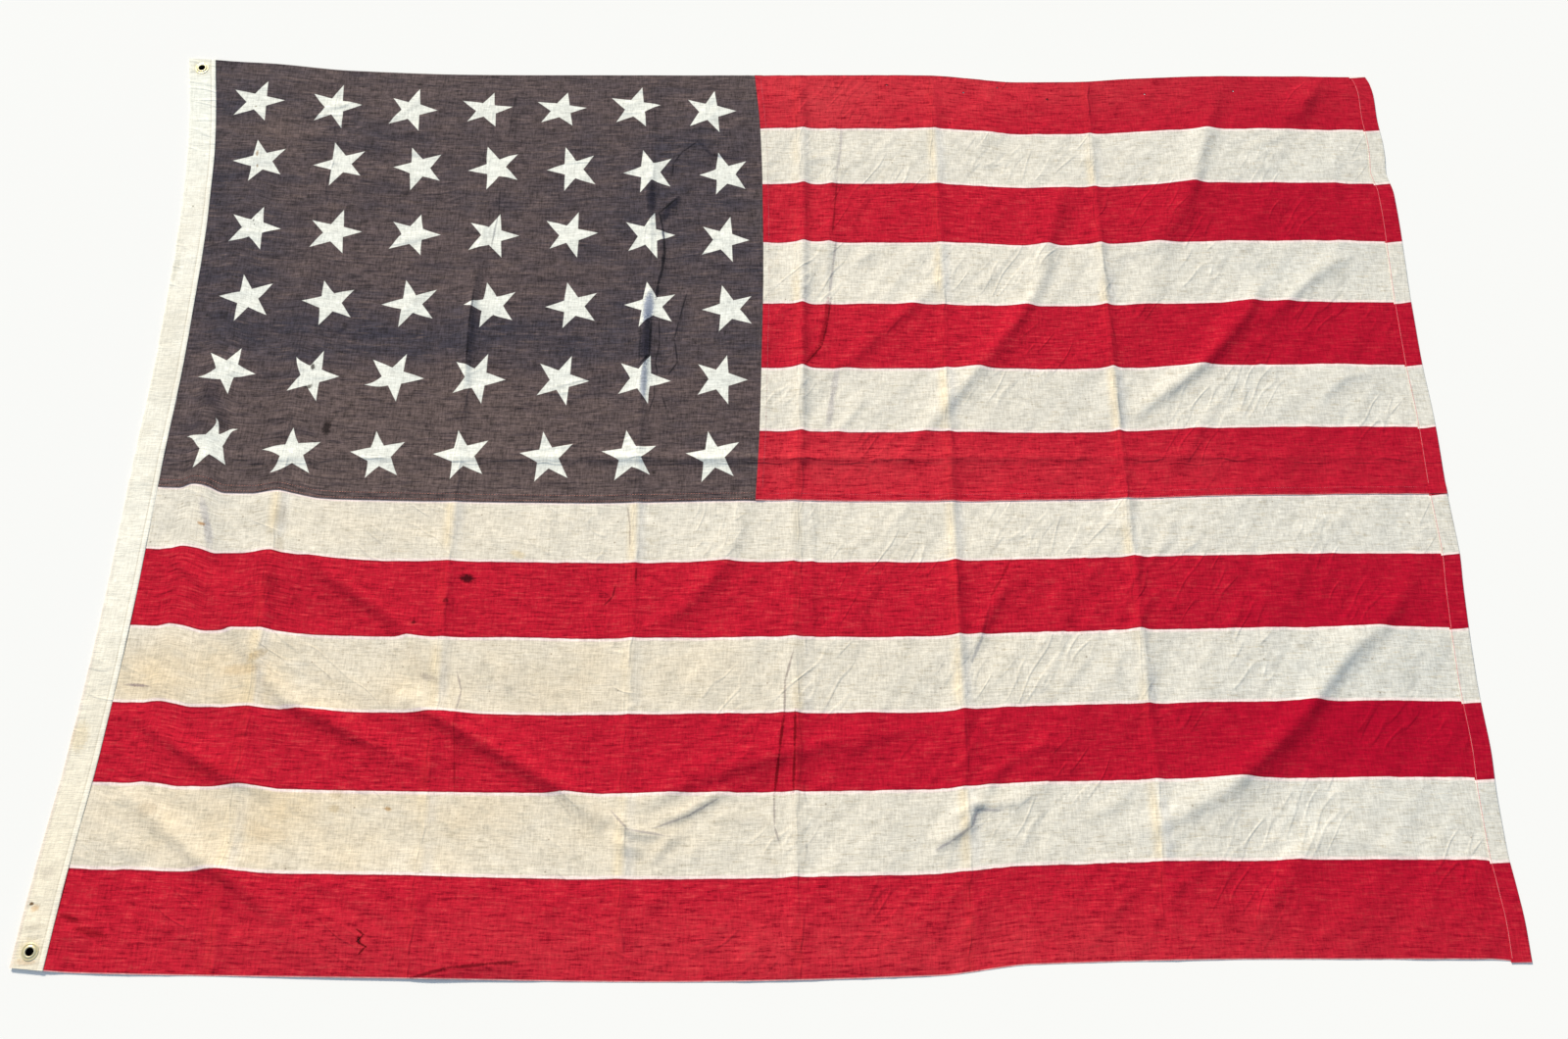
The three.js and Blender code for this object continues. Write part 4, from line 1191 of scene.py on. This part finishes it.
LOWER_MARKS += marks_along([
    # Painted shade: the grey-purple fold line near the hoist, and two strokes along the wrinkle that
    # crosses the stripes at x 240 to 300.
    ([(-842, -313), (-816, -315)], 2, dye(176, 168, 190), 0.8),
    ([(243, -278), (258, -245), (270, -204)], 2.4, dye(202, 206, 218), 0.75),
    ([(272, -190), (288, -164), (302, -138)], 2, dye(176, 136, 156), 0.6),
    # A darker line across a red stripe.
    ([(30, -196), (60, -190), (110, -197)], 1.6, dye(190, 150, 164), 0.5),
    # Painted shade in the fold beside the bottom end of the heading.
    ([(-870, -596), (-850, -603)], 3, dye(160, 110, 130), 0.7),
    ([(-848, -612), (-816, -620)], 5, dye(186, 140, 156), 0.7),
    # A thin tear, its frayed edges darkened as a painted shade for the shadow under it.
    ([(-516, -612), (-507, -618), (-514, -626), (-503, -632), (-511, -641)], 1.3, dye(130, 70, 90), 0.85),
    # Painted shade: a blue-grey band along the ridge in the top white stripe near the hoist, and grey
    # strokes along three wrinkles in the bottom stripes.
    ([(-786, -60), (-774, -94), (-766, -122)], 6, dye(206, 208, 224), 0.6),
    ([(-217, -472), (-196, -494), (-150, -501)], 1.6, dye(190, 188, 202), 0.7),
    ([(-164, -492), (-122, -477), (-86, -456)], 1.6, dye(196, 194, 206), 0.7),
    ([(186, -518), (206, -507), (232, -489), (240, -469), (270, -469)], 1.8, dye(196, 194, 206), 0.7),
    # Painted shadow under the lifted bottom edge.
    ([(-445, -667), (-402, -656), (-350, -651), (-318, -649)], 2.2, dye(150, 110, 130), 0.8),
    # Painted shade along wrinkles: two down the middle of the lower stripes and one near x -420.
    ([(12, -345), (11, -392), (9, -447)], 1.9, dye(150, 96, 116), 0.8),
    ([(-3, -352), (-8, -395), (-14, -447)], 2.1, dye(150, 96, 116), 0.85),
    ([(9, -268), (-1, -305), (-2, -351)], 1.6, dye(186, 180, 184), 0.85),
    ([(-15, -450), (-14, -490), (-9, -508)], 1.5, dye(192, 188, 194), 0.8),
    ([(-422, -352), (-418, -400), (-414, -452)], 1.2, dye(176, 140, 150), 0.5),
    # Small dark marks, and a grey line.
    ([(-239, -203), (-229, -192), (-226, -178)], 1.5, dye(130, 110, 130), 0.7),
    ([(-199, -172), (-199, -152)], 1.6, dye(130, 100, 120), 0.7),
    ([(-214, -66), (-210, -92), (-209, -122)], 1.4, dye(196, 192, 196), 0.7),
    # Painted shade along a wrinkle near x -420.
    ([(-424, -296), (-417, -318), (-420, -342)], 1.5, dye(190, 186, 196), 0.7),
])
give(lower_stripes, stripe_material("striped_cotton_lower", 0.0, LOWER_MARKS))
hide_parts("lower_stripes")

# Heading
# A strip of off-white canvas folded over the hoist edge, with all the cotton caught between its two
# layers. Its long edges and its ends are stitched down, and hands have left it yellow and grey.
CANVAS = 0.7  # thickness of one layer
# The strip's section: distances in from the hoist edge, and heights.
HEADING_SECTION = [
    (40, 0.45), (37, 0.45), (34, 0.45), (31, 0.45), (28, 0.45), (25, 0.45), (22, 0.45), (19, 0.45),
    (16, 0.45), (13, 0.45), (10, 0.45), (7, 0.45), (4.5, 0.45), (2.6, 0.46), (1.3, 0.6), (0.6, 0.88),
    (0.35, 1.2), (0.6, 1.54), (1.3, 1.83), (2.6, 1.97), (4, 1.94), (5, 1.9), (6, 1.96), (8, 2.0),
    (10.5, 2.0), (13, 2.0), (16, 2.0), (19, 2.0), (22, 2.0), (25, 2.0), (28, 2.0), (31, 1.98),
    (32.4, 1.92), (33.3, 1.88), (34.2, 1.95), (35, 2.1), (36.5, 2.2), (38.2, 2.2), (39.4, 2.12),
    (40.1, 1.94), (40.3, 1.7),
]
HEADING_ROWS = 420
EYELETS = [(-897.213, 654.0), (-898.939, -638.0)]
EYELET_CUT = 6.5  # radius of the hole in the canvas, which the grommet's flange hides
HEADING_DENTS = [  # small wrinkles across it, from place to place, and their height
    (-905, 628, -884, 630, -0.35), (-885, 520, -862, 521, -0.4), (-905, -345, -870, -338, 0.5),
    (-906, -372, -872, -367, -0.5), (-908, -402, -874, -398, 0.5), (-908, -430, -878, -422, -0.4),
    (-912, -590, -892, -592, -0.5), (-912, -608, -890, -612, 0.4), (-890, -40, -860, -36, 0.5),
]
dents = np.zeros_like(plan_x)
for x0, y0, x1, y1, height in HEADING_DENTS:
    fold(dents, tapered([(x0, y0), ((x0 + x1) / 2, (y0 + y1) / 2 + 1.5), (x1, y1)], height), 3.5, 2)
dents += (0.16 * crumple(60, 26, 10, seed=31) + 0.1 * crumple(24, 10, 6, seed=32)) * (plan_x < -800)


def heading_height(x, y, up):
    """Height of the middle of the canvas, where it would be up if it lay flat."""
    return up + grommet_lift(x, y) + ease(up, 0.5, 1.9) * chart_at(dents, x, y)


section_in, section_up = np.array(HEADING_SECTION).T
section_share, up_share = np.meshgrid(np.arange(len(section_in)), np.linspace(0, 1, HEADING_ROWS + 1))
heading_x = hoist(0) + section_in[section_share]
for _ in range(8):
    heading_y = bottom(heading_x) + (top(heading_x) - bottom(heading_x)) * up_share
    heading_x = hoist(heading_y) + section_in[section_share]
heading_z = heading_height(heading_x, heading_y, section_up[section_share])
gone = np.zeros((HEADING_ROWS, len(section_in) - 1), bool)
for eyelet_x, eyelet_y in EYELETS:
    off_x, off_y = heading_x - eyelet_x, heading_y - eyelet_y
    away = np.maximum(np.hypot(off_x, off_y), 0.1)
    heading_z -= 0.16 * np.exp(-((away / 11) ** 2)) * (section_up[section_share] > 1.2)
    gone |= cells_of(away).min(2) < EYELET_CUT - 1.2
    rim = away < EYELET_CUT + 1
    heading_x[rim] += (off_x * (EYELET_CUT / away - 1))[rim]
    heading_y[rim] += (off_y * (EYELET_CUT / away - 1))[rim]
run = np.concatenate([[0], np.cumsum(np.hypot(np.diff(section_in), np.diff(section_up)))])
heading = weave_sheet(
    "canvas_heading",
    np.stack([heading_x, heading_y, heading_z], -1),
    gone,
    {"threads": cells_of(np.stack([run[section_share] * MM, heading_y * MM], -1))},
    {"from_fold": section_in[section_share] + 50 * (section_up[section_share] < 1.2)},
    CANVAS,
)

CANVAS_WHITE = dye(252, 248, 235)
canvas_material, tree, shader = cloth_material("canvas", 0.88, 0.04)
threads = put(tree, "UVMap", uv_map="threads")
place = put(tree, "TexCoord", out=3)
weave = use(tree, plain_weave, {"Threads": threads, "Slubs": 0.55})
from_fold = put(tree, "Attribute", out=2, attribute_name="from_fold")
up_the_flag = split(tree, place)[1]
clouds = noise(tree, place, 11.0, 4.0, 0.6)
aged = mixed(tree, step(tree, up_the_flag, -0.62, -0.05, 0.9, 0.0), CANVAS_WHITE, dye(246, 235, 212))
aged = mixed(tree, step(tree, up_the_flag, 0.35, 0.62, 0.0, 0.9), aged, dye(249, 250, 240))
aged = mixed(tree, step(tree, clouds, 0.42, 0.72, 0.0, 0.5), aged, dye(230, 223, 206))
by_fold = step(tree, from_fold, 1.0, 6.0, 0.5, 0.0)
handled = sum_of(tree, "MULTIPLY", by_fold, step(tree, up_the_flag, -0.4, 0.1, 1.0, 0.0))
aged = mixed(tree, handled, aged, dye(222, 205, 200))
before_edge = step(tree, from_fold, 39.6, 40.2, 0.35, 0.0)
worn_edge = sum_of(tree, "MULTIPLY", step(tree, from_fold, 33.6, 35.0), before_edge)
aged = mixed(tree, worn_edge, aged, dye(255, 252, 242))
sewn = step(tree, sum_of(tree, "ABSOLUTE", sum_of(tree, "SUBTRACT", from_fold, 33.2)), 0.3, 1.6, 0.4, 0.0)
aged = mixed(tree, sewn, aged, dye(206, 196, 176))
aged = shaded_by(tree, aged, weave["Shade"])
HEADING_MARKS = [
    (-908, -583, 2.6, 2.2, 30, dye(110, 84, 54), 0.95),
    (-903, -588, 5, 4, 30, dye(244, 214, 180), 0.7),
    (-897, -547, 9, 8, 20, dye(222, 220, 222), 0.6),
    (-898, -610, 12, 4, 5, dye(226, 224, 222), 0.7),
    (-899, -622, 11, 3, 5, dye(222, 222, 224), 0.6),
    (-902, -650, 14, 3.5, 0, dye(226, 208, 196), 0.6),
    (-890, -380, 12, 20, 0, dye(236, 226, 206), 0.6),
    (-898, -320, 1.2, 4, -15, dye(150, 140, 120), 0.8),
    (-898, -330, 1, 2, 0, dye(120, 110, 100), 0.8),
    (-880, 300, 5, 24, -5, dye(226, 226, 222), 0.6),
    (-900, -637, 14, 14, 0, dye(246, 236, 206), 0.5),
    (-897, 654, 14, 13, 0, dye(246, 238, 212), 0.5),
    (-872, 405, 1.6, 1.6, 0, dye(120, 120, 110), 0.6),
]
aged = stained_and_shaded(tree, place, aged, HEADING_MARKS)
slanted = put(tree, "Mapping", {"Vector": threads, "Rotation": (0, 0, 0.2)})
creased = use(tree, worn_wrinkles, {"Place": slanted, "Sharp": 0.6})["Height"]
finish_cloth(tree, shader, aged, sum_of(tree, "MULTIPLY_ADD", creased, 0.75, weave["Height"]))
give(heading, canvas_material)
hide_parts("heading")

# Stitches
# Cotton thread, sewn by machine in straight rows: round the heading, twice along the felled seam in
# the middle, once beside the canton's edge and once along the hem.


def make_stitch_tree():
    """Lays a low bead of thread at each step along the rows that it is given."""
    tree = bpy.data.node_groups.new("machine stitches", "GeometryNodeTree")
    sockets = tree.interface
    sockets.new_socket(name="Rows", in_out="INPUT", socket_type="NodeSocketGeometry")
    for label in ("Pitch", "Length", "Thickness", "Wander"):
        sockets.new_socket(name=label, in_out="INPUT", socket_type="NodeSocketFloat")
    sockets.new_socket(name="Seed", in_out="INPUT", socket_type="NodeSocketInt")
    sockets.new_socket(name="Thread", in_out="INPUT", socket_type="NodeSocketMaterial")
    sockets.new_socket(name="Stitches", in_out="OUTPUT", socket_type="NodeSocketGeometry")
    given = tree.nodes.new("NodeGroupInput").outputs

    def add(kind, inputs, **settings):
        node = tree.nodes.new(kind)
        for name, value in settings.items():
            setattr(node, name, value)
        for key, value in inputs.items():
            if isinstance(value, bpy.types.NodeSocket):
                tree.links.new(value, node.inputs[key])
            else:
                node.inputs[key].default_value = value
        return node.outputs

    rows = add("GeometryNodeMeshToCurve", {"Mesh": given["Rows"]})["Curve"]
    steps = add("GeometryNodeCurveToPoints", {"Curve": rows, "Length": given["Pitch"]}, mode="LENGTH")
    bead = add("GeometryNodeMeshUVSphere", {"Segments": 6, "Rings": 5, "Radius": 0.5})["Mesh"]
    bead = add("GeometryNodeSetShadeSmooth", {"Geometry": bead})["Geometry"]
    thick = given["Thickness"]
    size = add("ShaderNodeCombineXYZ", {0: thick, 1: thick, 2: given["Length"]})[0]
    ranges = {0: (0.85, 0.85, 0.75), 1: (1.15, 1.15, 1.1), 8: given["Seed"]}
    uneven = add("FunctionNodeRandomValue", ranges, data_type="FLOAT_VECTOR")[0]
    size = add("ShaderNodeVectorMath", {0: size, 1: uneven}, operation="MULTIPLY")[0]
    other_way = add("ShaderNodeMath", {0: given["Wander"], 1: -1.0}, operation="MULTIPLY")[0]
    ranges = {2: other_way, 3: given["Wander"], 8: given["Seed"]}
    yaw = add("FunctionNodeRandomValue", ranges, data_type="FLOAT")[1]
    turn = add("FunctionNodeAxisAngleToRotation", {"Axis": (0, 0, 1), "Angle": yaw})[0]
    turned = add("FunctionNodeRotateRotation", {0: steps["Rotation"], 1: turn}, rotation_space="GLOBAL")[0]
    placed = {"Points": steps["Points"], "Instance": bead, "Rotation": turned, "Scale": size}
    beads = add("GeometryNodeInstanceOnPoints", placed)["Instances"]
    whole = add("GeometryNodeRealizeInstances", {"Geometry": beads})["Geometry"]
    whole = add("GeometryNodeSetMaterial", {"Geometry": whole, "Material": given["Thread"]})["Geometry"]
    tree.links.new(whole, tree.nodes.new("NodeGroupOutput").inputs["Stitches"])
    return tree


stitch_tree = make_stitch_tree()


def make_thread(name, colour, other):
    """Cotton thread whose colour wanders between two."""
    material, tree, shader = cloth_material(name, 0.8, 0.1)
    place = put(tree, "TexCoord", out=3)
    faded = noise(tree, place, 70.0, 3.0, 0.6)
    mix = mixed(tree, step(tree, faded, 0.35, 0.65), colour, other)
    twist = noise(tree, place, 2500.0, 1.0, 0.5)
    finish_cloth(tree, shader, mix, sum_of(tree, "MULTIPLY", twist, 0.1))
    return material


def sew(name, rows, thread, pitch, length, thickness, wander=0.1):
    """One piece made of rows of stitches, each row an array of places."""
    mesh = bpy.data.meshes.new(name)
    starts = np.cumsum([0] + [len(row) for row in rows])
    edges = [(i, i + 1) for a, b in zip(starts, starts[1:]) for i in range(a, b - 1)]
    mesh.from_pydata(np.vstack(rows) * MM, edges, [])
    piece = bpy.data.objects.new(name, mesh)
    scene.collection.objects.link(piece)
    sewing = piece.modifiers.new("stitches", "NODES")
    sewing.node_group = stitch_tree
    wanted = {
        "Pitch": pitch * MM, "Length": length * MM, "Thickness": thickness * MM, "Wander": wander,
        "Seed": 7 + len(name), "Thread": thread,
    }
    for socket in stitch_tree.interface.items_tree:
        if socket.name in wanted:
            sewing[socket.identifier] = wanted[socket.name]
    settled(piece)
    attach(piece, "root")
    return piece


ROW_STEP = 3.0  # between the places that a row is drawn through


def row_up(line, low, high, height):
    """A row that follows line, x for y, from low to high."""
    y = np.arange(low, high, ROW_STEP)
    x = line(y)
    return np.stack([x, y, height(x, y)], -1)


def row_along(line, left, right, height):
    """A row that follows line, y for x, from left to right."""
    x = np.arange(left, right, ROW_STEP)
    y = line(x)
    return np.stack([x, y, height(x, y)], -1)


def on_canvas(x, y):
    return heading_height(x, y, 1.9) + CANVAS / 2 - 0.12


def on_lap(x, y):
    return cloth_height(x, y) + LAP_LIFT + CLOTH / 2 - 0.05


def on_hem(x, y):
    return cloth_height(x, y) + HEM_SECTION[9][1] + CLOTH / 2


canvas_thread = make_thread("canvas_thread", dye(196, 188, 166), dye(226, 218, 198))
canton_thread = make_thread("canton_thread", dye(204, 140, 124), dye(158, 104, 98))
red_thread = make_thread("red_thread", dye(214, 70, 88), dye(236, 128, 140))
grey_thread = make_thread("grey_thread", dye(150, 130, 138), dye(190, 90, 104))
hem_thread = make_thread("hem_thread", dye(240, 152, 154), dye(228, 122, 130))
NEAR_EDGES = (5.0, 33.3)
sew(
    "heading_stitches",
    [row_up(along(hoist, a), -650, 660, on_canvas) for a in NEAR_EDGES]
    + [row_along(along(bottom, 5.5), -913, -885, on_canvas)]
    + [row_along(along(top, -5), -913, -885, on_canvas)],
    canvas_thread, 3.3, 2.5, 0.42,
)
SEAM_ROWS = (2.4, 10.4)
canton_left, canton_right = hoist(-30) + HEADING_WIDTH + 3, canton_seam(-45) - 2
hem_left = fly(-40) - HEM_WIDTH - 2
sew(
    "canton_seam_stitches",
    [row_along(along(middle, up), canton_left, canton_right, on_lap) for up in SEAM_ROWS],
    canton_thread, 3.6, 2.5, 0.95, 0.16,
)
sew(
    "fly_seam_stitches",
    [row_along(along(middle, up), canton_right + 4, hem_left, on_lap) for up in SEAM_ROWS],
    red_thread, 3.2, 2.2, 0.5, 0.16,
)
sew(
    "canton_edge_stitches",
    [row_up(along(canton_seam, 8.5), -38, 654, on_lap)],
    grey_thread, 3.0, 2.4, 0.45,
)
sew(
    "hem_stitches",
    [row_up(along(fly, 1.6 - HEM_WIDTH), -644, 666, on_hem)],
    hem_thread, 2.1, 2.7, 0.6,
)

# Grommets
# Two brass grommets pressed through both layers of the heading, one near each end: a barrel with a
# flat flange below and a rolled rim above. The brass has dulled and gone brown in its corners, and
# the inside of each barrel is painted nearly black as a painted shade.
GROMMET_SIDES = 72
# The section that is turned about the grommet's middle: radii and heights.
GROMMET_SECTION = [
    (4.75, 0.3), (4.75, 1.5), (4.75, 2.8), (4.76, 3.7), (4.84, 4.15), (5.02, 4.48), (5.3, 4.7),
    (5.65, 4.79), (6.02, 4.79), (6.4, 4.7), (6.8, 4.5), (7.2, 4.25), (7.65, 4.05), (8.15, 3.94),
    (8.65, 3.93), (9.1, 4.0), (9.5, 4.08), (9.85, 4.06), (10.12, 3.94), (10.27, 3.76), (10.28, 3.58),
    (10.15, 3.44), (9.9, 3.4), (8.4, 3.4), (6.9, 3.4), (6.1, 3.38), (5.75, 3.25), (5.6, 3.0),
    (5.6, 1.9), (5.6, 1.2), (5.72, 0.92), (6.1, 0.8), (7.5, 0.8), (9.0, 0.8), (9.9, 0.78), (10.18, 0.64),
    (10.28, 0.44), (10.2, 0.22), (9.95, 0.06), (9.5, 0.0), (7.5, 0.0), (5.8, 0.0), (5.2, 0.04),
    (4.86, 0.14),
]


def turn_grommet(name, middle_x, middle_y):
    """A closed ring turned from the section."""
    count = len(GROMMET_SECTION)
    points, faces = [], []
    for side in range(GROMMET_SIDES):
        angle = 2 * math.pi * side / GROMMET_SIDES
        for radius, up in GROMMET_SECTION:
            uneven = 1 + 0.006 * math.sin(3 * angle + 1) * (up > 3)
            points.append(
                ((middle_x + radius * uneven * math.cos(angle)) * MM,
                 (middle_y + radius * uneven * math.sin(angle)) * MM, up * MM)
            )
    for side in range(GROMMET_SIDES):
        here, there = side * count, (side + 1) % GROMMET_SIDES * count
        for i in range(count):
            j = (i + 1) % count
            faces.append((here + i, here + j, there + j, there + i))
    mesh = bpy.data.meshes.new(name)
    mesh.from_pydata(points, [], faces)
    mesh.shade_smooth()
    around = mesh.attributes.new("radius", "FLOAT", "POINT")
    around.data.foreach_set("value", [radius for radius, _ in GROMMET_SECTION] * GROMMET_SIDES)
    grommet = bpy.data.objects.new(name, mesh)
    scene.collection.objects.link(grommet)
    return grommet


brass_material = bpy.data.materials.new("brass")
brass_material.use_nodes = True
tree = brass_material.node_tree
shader = tree.nodes["Principled BSDF"]
place = put(tree, "TexCoord", out=3)
radius = put(tree, "Attribute", out=2, attribute_name="radius")
tarnish = noise(tree, place, 420.0, 4.0, 0.65)
rolled = step(tree, radius, 6.2, 8.2, 0.0, 1.0)
groove = sum_of(tree, "MULTIPLY", rolled, step(tree, radius, 8.6, 9.6, 1.0, 0.0))
dull = sum_of(tree, "MULTIPLY_ADD", groove, 0.6, step(tree, tarnish, 0.45, 0.7, 0.0, 0.55), clamp=True)
# Painted shade: the inside of the barrel is painted nearly black, so that the hole looks dark.
barrel_shade = step(tree, radius, 4.8, 5.1, 1.0, 0.0)
brass = mixed(tree, dull, dye(236, 228, 192), dye(196, 180, 130))
brass = tinted(tree, brass, barrel_shade, 0.95, dye(44, 36, 26))
tree.links.new(brass, shader.inputs["Base Color"])
tree.links.new(step(tree, tarnish, 0.35, 0.7, 0.34, 0.56), shader.inputs["Roughness"])
tree.links.new(step(tree, dull, 0.0, 1.0, 0.5, 0.2), shader.inputs["Metallic"])
scuffs = noise(tree, place, 900.0, 3.0, 0.6)
tree.links.new(put(tree, "Bump", {"Height": scuffs, "Distance": 0.04 * MM}), shader.inputs["Normal"])
for node, (x, y) in zip(("grommet_top", "grommet_bottom"), EYELETS):
    grommet = turn_grommet("brass_" + node, x, y)
    give(grommet, brass_material)
    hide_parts(node)

# Floor
# A plain pale floor that isn't part of the flag, with a dark pad under each grommet's hole.


def plain_material(name, colour, roughness):
    """A matt surface of one colour."""
    material = bpy.data.materials.new(name)
    material.use_nodes = True
    inputs = material.node_tree.nodes["Principled BSDF"].inputs
    inputs["Base Color"].default_value = (*colour, 1)
    inputs["Roughness"].default_value = roughness
    inputs["Specular IOR Level"].default_value = 0.1
    return material


floor_mesh = bpy.data.meshes.new("floor")
floor_mesh.from_pydata([(-6, -6, 0), (6, -6, 0), (6, 6, 0), (-6, 6, 0)], [], [(0, 1, 2, 3)])
floor = bpy.data.objects.new("floor", floor_mesh)
scene.collection.objects.link(floor)
floor_mesh.materials.append(plain_material("pale_floor", (0.93, 0.93, 0.93), 0.95))
pad_material = plain_material("dark_pad", (0.006, 0.005, 0.004), 1.0)
PAD_RADIUS, PAD_SIDES, PAD_HEIGHT = 5.4, 24, 0.05
for x, y in EYELETS:
    turns = [math.tau * side / PAD_SIDES for side in range(PAD_SIDES)]
    across = [(PAD_RADIUS * math.cos(turn), PAD_RADIUS * math.sin(turn)) for turn in turns]
    rim = [((x + right) * MM, (y + up) * MM, PAD_HEIGHT * MM) for right, up in across]
    pad_mesh = bpy.data.meshes.new("pad")
    pad_mesh.from_pydata(rim, [], [tuple(range(PAD_SIDES))])
    pad_mesh.materials.append(pad_material)
    pad = bpy.data.objects.new("pad", pad_mesh)
    scene.collection.objects.link(pad)

# Light
# A broad warm lamp low down beyond the canton's corner, so that each crease shows, over an even,
# faintly blue fill. The backdrop itself looks as pale as the floor.
lamp = bpy.data.lights.new("studio_lamp", "SUN")
lamp.energy = 4.5
lamp.angle = math.radians(8)
lamp.color = (1.0, 0.905, 0.75)
lamp_object = bpy.data.objects.new("studio_lamp", lamp)
lamp_object.matrix_world = (
    Matrix.Rotation(math.radians(-62), 4, "Z") @ Matrix.Rotation(math.radians(-61), 4, "Y")
)
scene.collection.objects.link(lamp_object)
world = bpy.data.worlds.new("studio_fill")
world.use_nodes = True
world.node_tree.nodes["Background"].inputs["Strength"].default_value = 0.42
seen = put(world.node_tree, "LightPath")
backdrop = mixed(world.node_tree, seen, (0.78, 0.945, 1.14, 1), (2.2, 2.2, 2.2, 1))
world.node_tree.links.new(backdrop, world.node_tree.nodes["Background"].inputs["Color"])
scene.world = world
